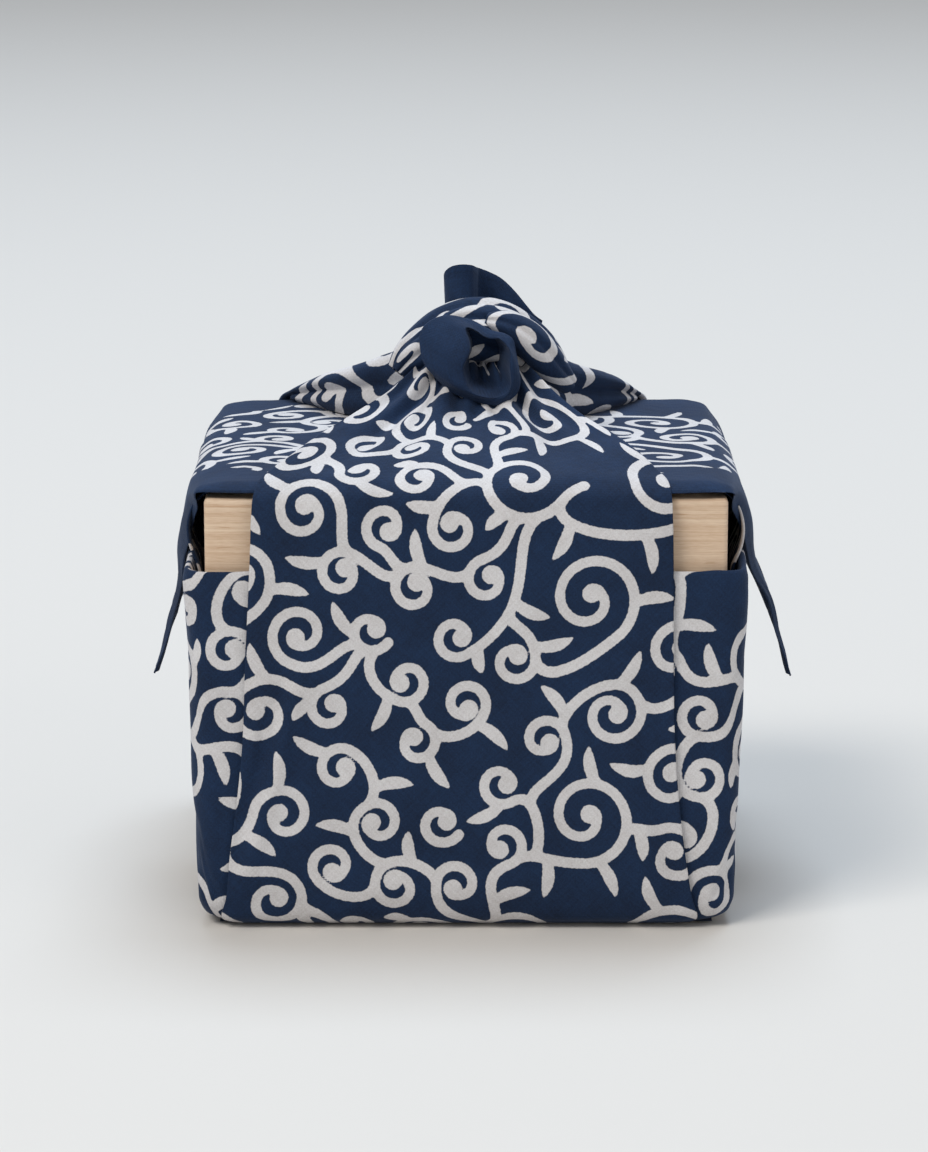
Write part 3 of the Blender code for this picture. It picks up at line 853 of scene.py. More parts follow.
@dataclass
class SideLayers:
    """The cloth folded up round the box, ending in a rolled fold below the lid, and the floor under it."""

    step: float = 0.95
    corner_points: int = 16
    side_points: int = 178
    rows: tuple[SideRow, ...] = rows_of(SideRow, (
        (0.35, 84.0, 84.5, 14.0), (1.2, 88.4, 88.4, 13.0), (3.2, 91.8, 91.4, 11.5), (7.2, 93.8, 93.3, 10.0),
        (15.0, 94.6, 93.9, 9.0), (38.0, 95.1, 94.2, 8.5), (62.0, 95.8, 94.2, 8.5), (86.0, 96.5, 94.2, 8.5),
        (108.0, 97.4, 94.2, 8.5), (121.0, 98.0, 94.2, 8.5), (126.2, 97.9, 94.1, 8.5),
        (128.5, 97.0, 93.6, 8.2), (128.7, 95.7, 92.9, 7.6), (127.0, 94.8, 92.2, 7.0),
        (121.0, 94.4, 92.0, 6.6), (104.0, 94.2, 91.8, 6.4),
    ))
    floor_half: float = 86.5
    floor_points: int = 90
    foot_share: float = 5.0  # how much of the flat cloth the rounded foot takes up
    tucked: tuple[float, float] = (-0.8, -0.4)  # the relief left where a panel covers the sides
    ripples: Ripples = Ripples(44.0, 0.34, 5)
    pleats: tuple[Crease, ...] = rows_of(Crease, (
        (60.0, 74.0, 96.0, 6.0, 1.0, 3.2), (78.0, 62.0, 98.0, 2.0, 0.9, 2.2),
        (88.0, 40.0, 104.0, 3.0, 0.8, 2.0), (30.0, 30.0, 84.0, 3.0, 0.6, 4.0),
        (70.0, 124.0, 74.0, 84.0, 0.6, 5.0), (84.0, 126.0, 92.0, 70.0, 0.5, 4.0),
    ))

    def ring(self, half_width: float, half_depth: float, corner: float) -> np.ndarray:
        """Return a level ring that starts at the middle of the front and runs by way of the right side.

        Args:
            half_width: half the ring's width, mm.
            half_depth: half its depth, mm.
            corner: the radius of its corners, mm.

        Returns:
            The ring's points in x and y, mm.
        """
        points: list[np.ndarray] = []
        quarters = ((1, -1), (1, 1), (-1, 1), (-1, -1))
        start = np.array((0.0, -half_depth))
        count = self.side_points // 2
        for quarter, (sx, sy) in enumerate(quarters):
            middle = np.array((sx * (half_width - corner), sy * (half_depth - corner)))
            turn = np.radians(90.0 * (quarter - 1 + np.linspace(0.0, 1.0, self.corner_points)))
            bend = middle + corner * np.stack([np.cos(turn), np.sin(turn)], axis=1)
            points += [start + (bend[0] - start) * s for s in np.linspace(0.0, 1.0, count + 1)[:-1]]
            points += list(bend)
            start = bend[-1]
            count = self.side_points
        end = points[0]
        points += [start + (end - start) * s for s in np.linspace(0.0, 1.0, self.side_points // 2 + 1)[1:]]
        return np.array(points)

    def wrap_sheets(self) -> list[ClothSheet]:
        """Return the upright cloth round the four sides, in two halves that meet under the panels.

        Returns:
            The right half and the left half.
        """
        along, row = sample_rows(self.rows, ("half_width", "height"), self.step)
        rings = np.array(
            [self.ring(w, d, c) for w, d, c in zip(row["half_width"], row["half_depth"], row["corner"])]
        )
        height = np.repeat(row["height"][:, None], rings.shape[1], axis=1)
        points = np.concatenate([rings, height[..., None]], axis=2)
        middle = rings.shape[1] // 2
        right = np.where(np.arange(rings.shape[1]) <= middle, 1.0, -1.0)[None, :]
        x, y = rings[..., 0], rings[..., 1]
        round_corner = np.abs(y) + np.maximum(0.0, BOX_HALF + 4.0 - np.abs(x))
        aside = np.sign(y) * round_corner
        rise = np.repeat(along[:, None], rings.shape[1], axis=1)
        relief = crease_relief(self.pleats, round_corner, height)
        uneven = 0.8 + 0.4 * np.sin(aside * 0.05 + right)
        calm = smooth_step(1.5, 12.0, height) * np.where(rise > 136.0, 0.3, 1.0)
        relief = relief * uneven * calm + self.ripples.at(aside + right * 400.0, rise) * calm
        # The panels cover the middle of the front and the back, so the cloth lies close there.
        covered = smooth_step(88.0, 79.0, np.abs(x)) * (np.abs(y) > 90.0)
        relief = relief * (1.0 - covered) + np.clip(relief, *self.tucked) * covered
        points += sheet_normals(points, BUNDLE_MIDDLE) * relief[..., None]
        droop = smooth_step(95.0, 128.0, height)
        sag = 0.5 + 0.45 * np.sin(aside * 0.043 + right * 1.3) + 0.3 * np.sin(aside * 0.11)
        points[..., 2] -= droop * sag
        sheets = []
        for name, part, side in (
            ("cloth_side_right", slice(0, middle + 1), 1.0),
            ("cloth_side_left", slice(middle, None), -1.0),
        ):
            flat = np.stack([side * (BOX_HALF + rise[:, part] - self.foot_share), aside[:, part]], axis=2)
            sheets.append(ClothSheet(name, points[:, part], flat, "folded"))
        return sheets

    def floor_sheet(self) -> ClothSheet:
        """Return the flat cloth under the box.

        Returns:
            The floor.
        """
        line = np.linspace(-self.floor_half, self.floor_half, self.floor_points)
        x, y = np.meshgrid(line, line)
        level = 0.02 + 0.6 * smooth_step(80.0, self.floor_half, np.maximum(np.abs(x), np.abs(y)))
        points = np.stack([x, y, level], axis=2)
        return ClothSheet("cloth_floor", points, points[..., :2].copy(), "laid")


class PanelRow(NamedTuple):
    """One line across a tied panel: its place, its half widths and the half width of cloth gathered in."""

    out: float
    height: float
    left: float
    right: float
    cut_half: float


class Gather(NamedTuple):
    """A fold that runs down from the knot: where it leaves the knot (-1 to 1), how deep, wide and long."""

    across: float
    depth: float
    width: float
    reach: float


@dataclass
class TiedPanel:
    """A broad panel up the front or the back, over the edge of the lid and gathered into the knot.

    On the upright face its edges are folded flat behind it. Over the lid they hang from the panel's edge
    down to the lid, as two soft rolls.
    """

    name: str
    facing: float
    gathers: tuple[Gather, ...]
    creases: tuple[Crease, ...]
    ripples: Ripples
    lift: float = 0.0
    step: float = 0.74
    columns: int = 212
    fold_columns: int = 20
    lid_level: float = 158.0
    turned_in: float = 12.0
    fold_behind: float = 1.7  # how far behind the face a folded edge lies
    rows: tuple[PanelRow, ...] = rows_of(PanelRow, (
        (88.8, 0.7, 82.5, 78.5, 82.0), (93.3, 3.6, 85.3, 80.8, 84.0), (95.6, 11.0, 83.8, 79.0, 83.0),
        (96.0, 26.0, 82.3, 76.5, 81.0), (96.1, 46.0, 79.6, 74.0, 79.0), (96.1, 70.0, 77.2, 72.2, 77.0),
        (96.1, 95.0, 76.2, 71.6, 76.0), (96.0, 118.0, 74.9, 71.3, 75.0), (95.6, 136.0, 74.0, 71.1, 74.0),
        (94.8, 147.0, 73.6, 70.8, 74.0), (92.8, 154.2, 72.9, 70.4, 73.5), (88.4, 158.4, 71.4, 69.4, 72.5),
        (80.0, 161.6, 67.0, 65.5, 71.5), (68.0, 165.6, 58.5, 59.0, 70.0), (54.0, 169.8, 49.5, 50.5, 68.0),
        (42.0, 174.6, 39.0, 40.0, 66.0), (31.0, 180.8, 27.5, 31.0, 63.0), (22.0, 186.4, 20.5, 24.5, 60.0),
        (8.0, 191.0, 15.0, 19.0, 56.0),
    ))

    def sheet(self) -> ClothSheet:
        """Return the panel with both its edges folded under.

        Returns:
            The panel.
        """
        along, row = sample_rows(self.rows, ("out", "height"), self.step)
        height = row["height"] + self.lift * smooth_step(158.0, 170.0, row["height"])
        height -= self.lift * 0.6 * smooth_step(178.0, 190.0, row["height"])
        share = np.linspace(0.0, 1.0, self.columns)
        under = np.linspace(1.0, 0.0, self.fold_columns + 1)[:-1]
        fold = np.concatenate([under, np.zeros(self.columns), under[::-1]])
        side = np.concatenate([-np.ones(self.fold_columns), 2.0 * share - 1.0, np.ones(self.fold_columns)])
        middle = (row["right"] - row["left"])[:, None] / 2.0
        half = (row["left"] + row["right"])[:, None] / 2.0
        edge = middle + half * side
        hand = np.sign(side)
        base = np.zeros((*edge.shape, 3))
        base[..., 0], base[..., 1] = edge, self.facing * row["out"][:, None]
        base[..., 2] = height[:, None]
        normal = self.panel_normals(row["out"], height, edge.shape)
        to_knot = (along[-1] - along)[:, None]
        rise = np.repeat(along[:, None], edge.shape[1], axis=1)
        relief = self.gather_relief(np.broadcast_to(side, edge.shape), to_knot)
        near_edge = 1.0 - smooth_step(0.0, 5.0, half * (1.0 - np.abs(side)))
        calm = smooth_step(2.0, 16.0, rise)
        relief += crease_relief(self.creases, edge, rise) * calm
        relief += self.ripples.at(edge, rise) * calm * (1.0 - 0.7 * near_edge) - 0.35 * near_edge
        # The face stays outside the side layers that it covers.
        clear = -0.25 - 0.85 * smooth_step(3.0, 14.0, height) - 20.0 * smooth_step(150.0, 160.0, height)
        relief = np.maximum(relief, clear[:, None])
        top = base + normal * relief[..., None]
        # On the upright face the edges turn in flat behind it.
        flat_fold = top.copy()
        turn_in = np.maximum(0.0, fold * self.turned_in - 0.9)
        flat_fold[..., 0] -= hand * turn_in * np.clip(half / 45.0, 0.35, 1.0)
        flat_fold -= normal * (self.fold_behind * np.minimum(1.0, fold / 0.22) ** 0.6)[None, :, None]
        # Over the lid they roll down to it from the panel's edge.
        drop = np.maximum(0.0, top[..., 2] - self.lid_level)
        hanging = top.copy()
        roll = np.abs(np.sin(2.0 * math.pi * fold**0.9))
        hanging[..., 0] += hand * roll * np.minimum(2.6, drop * 0.22)
        hanging[..., 1] -= self.facing * roll * np.minimum(1.6, drop * 0.12)
        hanging[..., 2] -= drop * fold
        over_lid = (smooth_step(158.0, 163.5, height)[:, None] * (fold > 0.0))[..., None]
        points = flat_fold * (1.0 - over_lid) + hanging * over_lid
        length = self.turned_in * (1.0 - over_lid[..., 0]) + drop * over_lid[..., 0]
        cut = row["cut_half"][:, None] * side + hand * fold * length
        flat = np.stack([cut, self.facing * (BOX_HALF - 2.0 + rise)], axis=2)
        return ClothSheet(self.name, points, flat, "draped", FOLD_INSIDE)

    def panel_normals(self, out: np.ndarray, height: np.ndarray, shape: tuple[int, int]) -> np.ndarray:
        """Return the outward direction along the panel's route, the same right across it.

        Args:
            out: the route's distance from the middle, mm.
            height: its height, mm.
            shape: the grid's rows and columns.

        Returns:
            One direction for each point.
        """
        inwards, up = np.gradient(out), np.gradient(height)
        length = np.hypot(inwards, up)
        normal = np.zeros((*shape, 3))
        normal[..., 1] = (self.facing * up / length)[:, None]
        normal[..., 2] = (-inwards / length)[:, None]
        return normal

    def gather_relief(self, across: np.ndarray, to_knot: np.ndarray) -> np.ndarray:
        """Return the gathers' relief: they start at the knot, spread and die out towards the edge.

        Args:
            across: place across the panel, from -1 to 1.
            to_knot: distance along the cloth to the knot, mm.

        Returns:
            How far out each point moves, mm.
        """
        relief = np.zeros(np.broadcast_shapes(across.shape, to_knot.shape))
        for gather in self.gathers:
            fade = smooth_step(gather.reach, 0.3 * gather.reach, to_knot)
            spread = gather.width * (1.0 + 0.5 * to_knot / gather.reach)
            wander = gather.across + 0.05 * np.sin(to_knot * 0.07 + gather.across * 9.0)
            relief -= gather.depth * fade * np.exp(-(((across - wander) / spread) ** 2))
        return relief


class FlapRow(NamedTuple):
    """One line across a flap: its place towards the wing's side, its height and its half depth."""

    out: float
    height: float
    half_depth: float


RISING_ROWS = rows_of(FlapRow, (
    (-92.0, 96.0, 72.0), (-92.2, 112.0, 74.0), (-93.6, 126.0, 76.0), (-96.2, 134.0, 77.0),
    (-96.6, 141.0, 77.0), (-94.6, 147.6, 76.0), (-89.6, 152.6, 76.0), (-83.0, 155.0, 82.0),
    (-60.0, 155.4, 88.0), (-25.0, 155.9, 90.0), (0.0, 156.6, 90.5), (25.0, 157.4, 90.5),
    (55.0, 157.7, 90.5), (74.0, 157.5, 90.5),
))


@dataclass
class LidFlap:
    """A corner of the cloth that rises up one side, crosses the lid and hangs down the other as a wing."""

    name: str
    towards: float
    wing: tuple[FlapRow, ...]
    ripples: Ripples
    creases: tuple[Crease, ...] = ()
    step: float = 1.05
    columns: int = 172
    curl: float = 5.2
    curl_band: float = 13.0
    # Heights on the wing, and how far in from its hems its middle hangs there.
    drawn_in: tuple[tuple[float, ...], tuple[float, ...]] = (
        (70.0, 82.0, 96.0, 106.0, 120.0, 127.0, 134.0, 141.0, 147.0, 152.0, 157.0),
        (2.6, 4.0, 6.0, 6.4, 6.1, 5.4, 4.4, 2.6, 0.4, -1.4, 0.0),
    )
    droop: float = 3.0
    lid_edge: float = 83.5
    lid_edge_band: float = 7.0
    widest: float = 104.0  # half the flat cloth's width where it crosses the lid
    blunt: float = 0.6  # the corner's point is folded off by this much
    hem_in: tuple[float, ...] = (4.0, 2.6, 1.2, 0.35, 0.0)
    hem_back: tuple[float, ...] = (0.95, 1.0, 1.0, 0.85, 0.45)

    def sheet(self) -> ClothSheet:
        """Return the flap from inside one side to the tip of its wing, with its hem turned under.

        Returns:
            The flap.
        """
        along, row = sample_rows(RISING_ROWS + self.wing, ("out", "height"), self.step)
        share = np.linspace(-1.0, 1.0, self.columns)
        turned = np.array(self.hem_in)
        side = np.concatenate([-np.ones(len(turned)), share, np.ones(len(turned))])[None, :]
        tuck = np.concatenate([turned, np.zeros(self.columns), turned[::-1]])[None, :]
        back = np.array(self.hem_back)
        behind = np.concatenate([back, np.zeros(self.columns), back[::-1]])[None, :]
        to_tip = (along[-1] - along)[:, None]
        half = row["half_depth"][:, None]
        tuck = np.minimum(tuck, 0.6 * half)
        across = half * side - np.sign(side) * tuck * (np.abs(side) == 1.0)
        points = np.zeros((*across.shape, 3))
        points[..., 0] = self.towards * row["out"][:, None]
        points[..., 1] = across
        points[..., 2] = row["height"][:, None]
        near_edge = np.clip(1.0 - (half - np.abs(across)) / self.curl_band, 0.0, 1.0)
        level = points[..., 2]
        out = points[..., 0] * self.towards
        hanging = smooth_step(156.0, 147.0, level) * (out > 0.0)
        inwards = np.interp(level, *self.drawn_in) * (out > 80.0) * (1.0 - side**2)
        inwards += self.curl * hanging * near_edge**1.6 * np.clip(half / 16.0, 0.0, 1.0)
        points[..., 0] -= self.towards * inwards
        over = np.clip((np.abs(across) - self.lid_edge) / self.lid_edge_band, 0.0, 1.0)
        points[..., 2] -= self.droop * over**2 * (1.0 - hanging) * smooth_step(150.0, 154.0, level)
        # The corner is square, so the cloth is as wide to each side as it is far from the tip.
        edge_half = np.minimum(to_tip + self.blunt, self.widest)
        flat_tuck = tuck * edge_half / np.maximum(half, 1.0)
        cut = edge_half * side - np.sign(side) * flat_tuck * (np.abs(side) == 1.0)
        reach = np.broadcast_to(self.towards * (CORNER_REACH - self.blunt - to_tip), across.shape)
        flat = np.stack([reach, cut], axis=2)
        rise = np.repeat(along[:, None], across.shape[1], axis=1)
        relief = self.ripples.at(across, rise) * (0.55 + 0.8 * hanging)
        relief += crease_relief(self.creases, across, to_tip + 0.0 * across)
        relief *= smooth_step(0.0, 40.0, rise) * smooth_step(1.0, 14.0, to_tip)
        # Normals come from the flap with its hems still open, because the folded ones face back.
        unfolded = points.copy()
        unfolded[..., 1] = (half + 0.4 * tuck) * side
        normal = sheet_normals(unfolded, FOLD_INSIDE)
        points += normal * (relief - behind)[..., None]
        return ClothSheet(self.name, points, flat, "draped", FOLD_INSIDE)


class BandRow(NamedTuple):
    """One section of a bundle of cloth: its centre, its half depth, and its half thickness."""

    x: float
    y: float
    height: float
    half_depth: float
    half_height: float


class Flute(NamedTuple):
    """A fold along a bundle: where round it (degrees), how deep, how wide (degrees), how it wanders."""

    angle: float
    depth: float
    width: float
    wander: float


@dataclass
class Bundle:
    """A tied strand of the knot: cloth drawn together into a fluted roll."""

    name: str
    rows: tuple[BandRow, ...]
    flutes: tuple[Flute, ...]
    flat_middle: tuple[float, float]
    step: float = 0.5
    around: int = 190
    gathered: float = 1.35  # flat cloth drawn into each mm of the strand's girth

    def sheet(self) -> ClothSheet:
        """Return the strand as one sheet rolled round on itself.

        Returns:
            The strand, open along its hidden underside.
        """
        along, row = sample_rows(self.rows, ("x", "y", "height"), self.step)
        spine = np.stack([row["x"], row["y"], row["height"]], axis=1)
        ahead = np.gradient(spine, axis=0)
        ahead /= np.linalg.norm(ahead, axis=1, keepdims=True)
        depth_way = np.array((0.0, 1.0, 0.0)) - ahead * ahead[:, 1:2]
        depth_way /= np.linalg.norm(depth_way, axis=1, keepdims=True)
        up_way = np.cross(ahead, depth_way)
        up_way *= np.where(up_way[:, 2:3] < 0.0, -1.0, 1.0)
        angle = np.linspace(-0.5 * math.pi, 1.5 * math.pi, self.around)[None, :]
        share = (along / along[-1])[:, None]
        swell = np.ones((len(along), self.around))
        for flute in self.flutes:
            place = math.radians(flute.angle) + flute.wander * (share - 0.5)
            off = np.degrees((angle - place + math.pi) % (2.0 * math.pi) - math.pi)
            swell -= flute.depth * np.exp(-((off / flute.width) ** 2))
        depth = row["half_depth"][:, None] * np.cos(angle) * swell
        points = spine[:, None] + depth_way[:, None] * depth[..., None]
        points += up_way[:, None] * (row["half_height"][:, None] * np.sin(angle) * swell)[..., None]
        girth = float(np.mean(row["half_depth"] + row["half_height"])) / 2.0 * self.gathered
        u = self.flat_middle[0] + girth * (angle - 0.5 * math.pi) + 0.0 * share
        v = self.flat_middle[1] + (along[:, None] - along[-1] / 2.0) + 0.0 * angle
        inside = tuple(float(c) for c in spine.mean(axis=0))
        return ClothSheet(self.name, points, np.stack([u, v], axis=2), "gathered", inside)


class LoopRow(NamedTuple):
    """One spoke of the front tail: where it crosses the mouth of the hollow, and its outermost point."""

    mouth_x: float
    mouth_height: float
    mouth_y: float
    outer_x: float
    outer_height: float
    outer_y: float
    swell: float


def hem_place(along: np.ndarray, inset: np.ndarray, front: float) -> np.ndarray:
    """Return places of the flat cut beside one hem, near the front or back corner.

    Args:
        along: distance along the hem from a point FROM_CORNER from the corner, mm.
        inset: distance in from the hem, mm.
        front: -1 for the front corner, 1 for the back corner.

    Returns:
        The places, mm.
    """
    root = math.sqrt(0.5)
    start = np.array((FROM_CORNER * root, CORNER_REACH - FROM_CORNER * root))
    place = start + along[..., None] * np.array((root, -root)) + inset[..., None] * np.array((-root, -root))
    return place * np.array((1.0, front))


@dataclass
class FrontTail:
    """The corner that turns down over the knot: a broad plain lobe on the left, rolled round a hollow."""

    spokes: tuple[LoopRow, ...] = rows_of(LoopRow, (
        (0.0, 202.4, -29.0, -7.0, 205.8, -21.5, 0.4), (1.1, 198.2, -32.0, -13.0, 203.6, -21.0, 1.6),
        (0.6, 193.0, -34.5, -16.6, 198.3, -21.5, 2.6), (-1.0, 187.9, -36.0, -16.2, 192.0, -23.5, 3.0),
        (0.6, 182.7, -37.0, -12.4, 185.8, -26.5, 2.8), (5.0, 179.5, -37.4, -7.0, 180.6, -30.0, 2.0),
        (10.4, 178.6, -37.2, 1.4, 177.2, -34.0, 1.0), (14.3, 180.2, -36.4, 10.8, 175.6, -35.0, 1.2),
        (15.9, 184.8, -35.2, 18.0, 179.2, -33.8, 1.2), (15.8, 191.1, -34.0, 19.0, 187.2, -32.2, 1.2),
        (14.7, 196.0, -32.0, 17.6, 195.8, -30.0, 1.0), (12.0, 198.6, -29.5, 14.6, 199.8, -28.0, 0.3),
        (8.2, 198.4, -26.5, 8.2, 201.0, -24.0, 0.2), (3.8, 200.9, -26.5, 1.0, 204.4, -22.0, 0.2),
    ))
    hollow: tuple[float, float, float] = (4.8, -3.0, 192.6)
    around: int = 170
    inner_steps: int = 34
    outer_steps: int = 40
    skirt_steps: int = 16
    skirt_middle: tuple[float, float] = (2.0, 191.0)  # where the skirt draws in to, in x and z
    skirt_drawn_in: float = 0.42
    skirt_deep: float = 14.0

    def sheet(self) -> ClothSheet:
        """Return the tail, from the bottom of its hollow over the mouth to its outline and back behind it.

        Returns:
            The tail.
        """
        pad = self.spokes[-2:] + self.spokes + self.spokes[:3]
        knots = np.arange(-2.0, len(self.spokes) + 3.0)
        at = np.linspace(0.0, len(self.spokes), self.around)
        table = smooth_at(knots, np.array(pad), at)
        mouth, outer = table[:, [0, 2, 1]], table[:, [3, 5, 4]]
        swell = table[:, 6][None, :, None]
        centre = np.array(self.hollow)
        t = np.linspace(0.02, 1.0, self.inner_steps)[:, None, None]
        inner = centre + (mouth - centre)[None] * t
        inner[..., 1] = centre[1] + (mouth[:, 1] - centre[1])[None] * (t**1.6)[..., 0]
        s = np.linspace(0.0, 1.0, self.outer_steps + 1)[1:, None, None]
        lobe = mouth[None] + (outer - mouth)[None] * s
        lobe[..., 1] -= (swell * np.sin(math.pi * s**0.75))[..., 0]
        b = np.linspace(0.0, 1.0, self.skirt_steps + 1)[1:, None, None]
        skirt = np.repeat(outer[None], self.skirt_steps, axis=0)
        inwards = np.array(self.skirt_middle) - outer[:, ::2]
        skirt[..., ::2] += inwards[None] * (self.skirt_drawn_in * b**1.6)
        skirt[..., 1] += (self.skirt_deep * b**0.8)[..., 0]
        points = np.concatenate([inner, lobe, skirt])
        turn = np.linspace(0.0, 2.0 * math.pi, self.around)[None, :]
        depth = np.concatenate([t[..., 0], 1.0 + s[..., 0], 2.0 + b[..., 0]])
        for axis, height, folds, drift in ((1, 0.35, 4.0, 2.0), (0, 0.30, 7.0, 3.0)):
            uneven = height * np.sin(folds * turn + drift * depth)
            points[..., axis] += uneven * np.clip(depth, 0.0, 1.0) ** 3
        inset = np.interp(depth, (0.0, 1.0, 2.0, 3.0), (16.0, 22.5, 3.0, 14.0))
        along = 48.0 * (turn / math.pi - 1.0) * np.interp(depth, (0.0, 1.0, 3.0), (0.5, 0.95, 1.0))
        flat = hem_place(along, inset + 0.0 * turn, -1.0)
        return ClothSheet("cloth_front_tail", points, flat, "folded", (4.0, 20.0, 190.0))


class TailRow(NamedTuple):
    """One upright line of the rear tail: its foot and its top."""

    x: float
    y: float
    top: float
    lean: float


@dataclass
class RearTail:
    """The corner that stands up behind the knot: rolled forwards on the left, to a point on the right."""

    foot: float = 188.0
    step: float = 0.45
    rise_points: int = 70
    rows: tuple[TailRow, ...] = rows_of(TailRow, (
        (-3.0, 14.0, 208.0, 2.0), (-6.4, 12.0, 211.0, 2.5), (-8.4, 8.2, 214.4, 3.0),
        (-8.1, 3.8, 217.6, 3.6), (-5.4, 0.6, 220.0, 4.2), (-1.6, -0.4, 220.8, 4.4), (1.4, 0.8, 220.4, 4.2),
        (3.2, 4.6, 219.2, 4.0), (4.6, 8.8, 218.2, 3.8), (7.6, 10.8, 216.8, 3.6), (12.6, 10.2, 214.2, 3.4),
        (17.8, 9.0, 209.4, 2.6), (21.4, 8.2, 205.2, 1.8), (24.4, 7.8, 201.8, 1.0), (27.4, 7.8, 199.6, 0.4),
    ))

    def sheet(self) -> ClothSheet:
        """Return the tail from behind the knot to its free edge.

        Returns:
            The tail.
        """
        along, row = sample_rows(self.rows, ("x", "y"), self.step)
        share = np.linspace(0.0, 1.0, self.rise_points)[:, None]
        points = np.zeros((self.rise_points, len(along), 3))
        top = row["top"][None, :]
        points[..., 2] = self.foot + (top - self.foot) * share
        points[..., 0] = row["x"][None, :] * (0.8 + 0.2 * share**0.6) + 0.5
        points[..., 1] = row["y"][None, :] + row["lean"][None, :] * share**2
        points[..., 1] += 0.45 * np.sin(points[..., 2] * 0.42 + points[..., 0] * 0.35)
        points[..., 1] -= 0.55 * smooth_step(4.2, 0.6, top - points[..., 2])
        run = along[None, :] - along[-1] / 2.0 + 0.0 * share
        flat = hem_place(run, top - points[..., 2] + 0.4, 1.0)
        return ClothSheet("cloth_rear_tail", points, flat, "folded", (8.0, 60.0, 200.0))


@dataclass
class FuroshikiCloth:
    """All of the cloth."""

    def pieces(self) -> list[ClothSheet]:
        """Return every stretch of the cloth, from the floor to the knot's tails.

        Returns:
            The sheets, in the order that they are built.
        """
        sides = SideLayers()
        return [
            sides.floor_sheet(),
            *sides.wrap_sheets(),
            self.left_flap().sheet(),
            self.right_flap().sheet(),
            self.front_panel().sheet(),
            self.back_panel().sheet(),
            self.lower_bundle().sheet(),
            self.upper_bundle().sheet(),
            self.side_strand().sheet(),
            FrontTail().sheet(),
            RearTail().sheet(),
        ]

    @staticmethod
    def front_panel() -> TiedPanel:
        """Return the front panel with its own gathers and creases.

        Returns:
            The panel.
        """
        return TiedPanel(
            "cloth_front_panel",
            -1.0,
            rows_of(Gather, (
                (-0.88, 2.6, 0.08, 66.0), (-0.62, 4.6, 0.085, 96.0), (-0.38, 3.6, 0.06, 74.0),
                (-0.16, 4.4, 0.07, 58.0), (0.08, 3.4, 0.06, 66.0), (0.30, 3.8, 0.06, 60.0),
                (0.54, 4.8, 0.075, 92.0), (0.82, 3.2, 0.08, 70.0),
            )),
            rows_of(Crease, (
                (-82.0, 22.0, -62.0, 96.0, 1.3, 3.0), (-76.5, 20.0, -56.5, 94.0, -1.3, 3.6),
                (-64.0, 150.0, -70.0, 60.0, 0.45, 4.5), (60.0, 168.0, 66.0, 40.0, 0.45, 5.0),
                (76.0, 6.0, 60.0, 70.0, 1.1, 3.2), (70.5, 6.0, 54.5, 68.0, -1.0, 3.8),
                (-20.0, 200.0, -36.0, 122.0, 1.0, 5.0), (26.0, 200.0, 38.0, 112.0, 1.0, 5.5),
                (-6.0, 122.0, 36.0, 96.0, 0.6, 4.0), (-48.0, 82.0, 10.0, 52.0, 0.55, 5.0),
            )),
            Ripples(44.0, 0.5, 21),
        )

    @staticmethod
    def back_panel() -> TiedPanel:
        """Return the back panel with its own gathers and creases.

        Returns:
            The panel.
        """
        return TiedPanel(
            "cloth_back_panel",
            1.0,
            rows_of(Gather, (
                (-0.78, 3.4, 0.08, 76.0), (-0.50, 4.4, 0.075, 84.0), (-0.24, 3.6, 0.06, 64.0),
                (0.02, 4.2, 0.065, 60.0), (0.28, 3.6, 0.06, 70.0), (0.56, 4.6, 0.08, 88.0),
                (0.84, 3.0, 0.08, 66.0),
            )),
            rows_of(Crease, (
                (-78.0, 14.0, -62.0, 84.0, 0.8, 3.6), (74.0, 10.0, 60.0, 78.0, 0.8, 3.8),
                (22.0, 196.0, 30.0, 124.0, 0.5, 6.0), (-24.0, 196.0, -36.0, 118.0, 0.5, 6.5),
                (-30.0, 110.0, 24.0, 84.0, 0.35, 6.0),
            )),
            Ripples(50.0, 0.36, 33),
            lift=4.2,
            step=0.98,
            columns=160,
        )

    @staticmethod
    def left_flap() -> LidFlap:
        """Return the flap that rises on the left, with its wing on the right.

        Returns:
            The flap.
        """
        wing = rows_of(FlapRow, (
            (86.5, 157.0, 89.5), (91.4, 155.6, 88.0), (94.8, 152.0, 84.5), (97.8, 147.0, 79.5),
            (100.6, 141.0, 73.0), (102.9, 134.0, 65.0), (104.6, 127.0, 57.0), (106.4, 120.5, 49.0),
            (109.2, 113.0, 40.5), (112.4, 106.0, 32.0), (116.0, 96.0, 21.0), (119.0, 82.0, 11.0),
            (121.2, 70.0, 5.0),
        ))
        creases = rows_of(Crease, (
            (-30.0, 84.0, -4.0, 14.0, 1.2, 6.0), (28.0, 80.0, 6.0, 20.0, -1.0, 7.0),
        ))
        return LidFlap("cloth_left_flap", 1.0, wing, Ripples(40.0, 0.5, 41), creases)

    @staticmethod
    def right_flap() -> LidFlap:
        """Return the flap that rises on the right, with its wing on the left.

        Returns:
            The flap.
        """
        wing = rows_of(FlapRow, (
            (86.5, 156.8, 89.5), (92.6, 155.2, 87.5), (96.0, 151.6, 84.0), (98.5, 146.8, 79.0),
            (100.7, 140.0, 72.0), (102.3, 133.0, 64.0), (103.8, 126.5, 56.5), (105.2, 119.0, 48.0),
            (106.6, 112.0, 40.0), (108.6, 104.0, 31.0), (112.0, 92.0, 18.0), (114.6, 80.0, 10.0),
            (116.4, 71.0, 5.0),
        ))
        creases = rows_of(Crease, (
            (26.0, 86.0, 2.0, 16.0, 1.2, 6.0), (-34.0, 80.0, -8.0, 22.0, -1.0, 7.0),
        ))
        return LidFlap("cloth_right_flap", -1.0, wing, Ripples(42.0, 0.5, 47), creases)

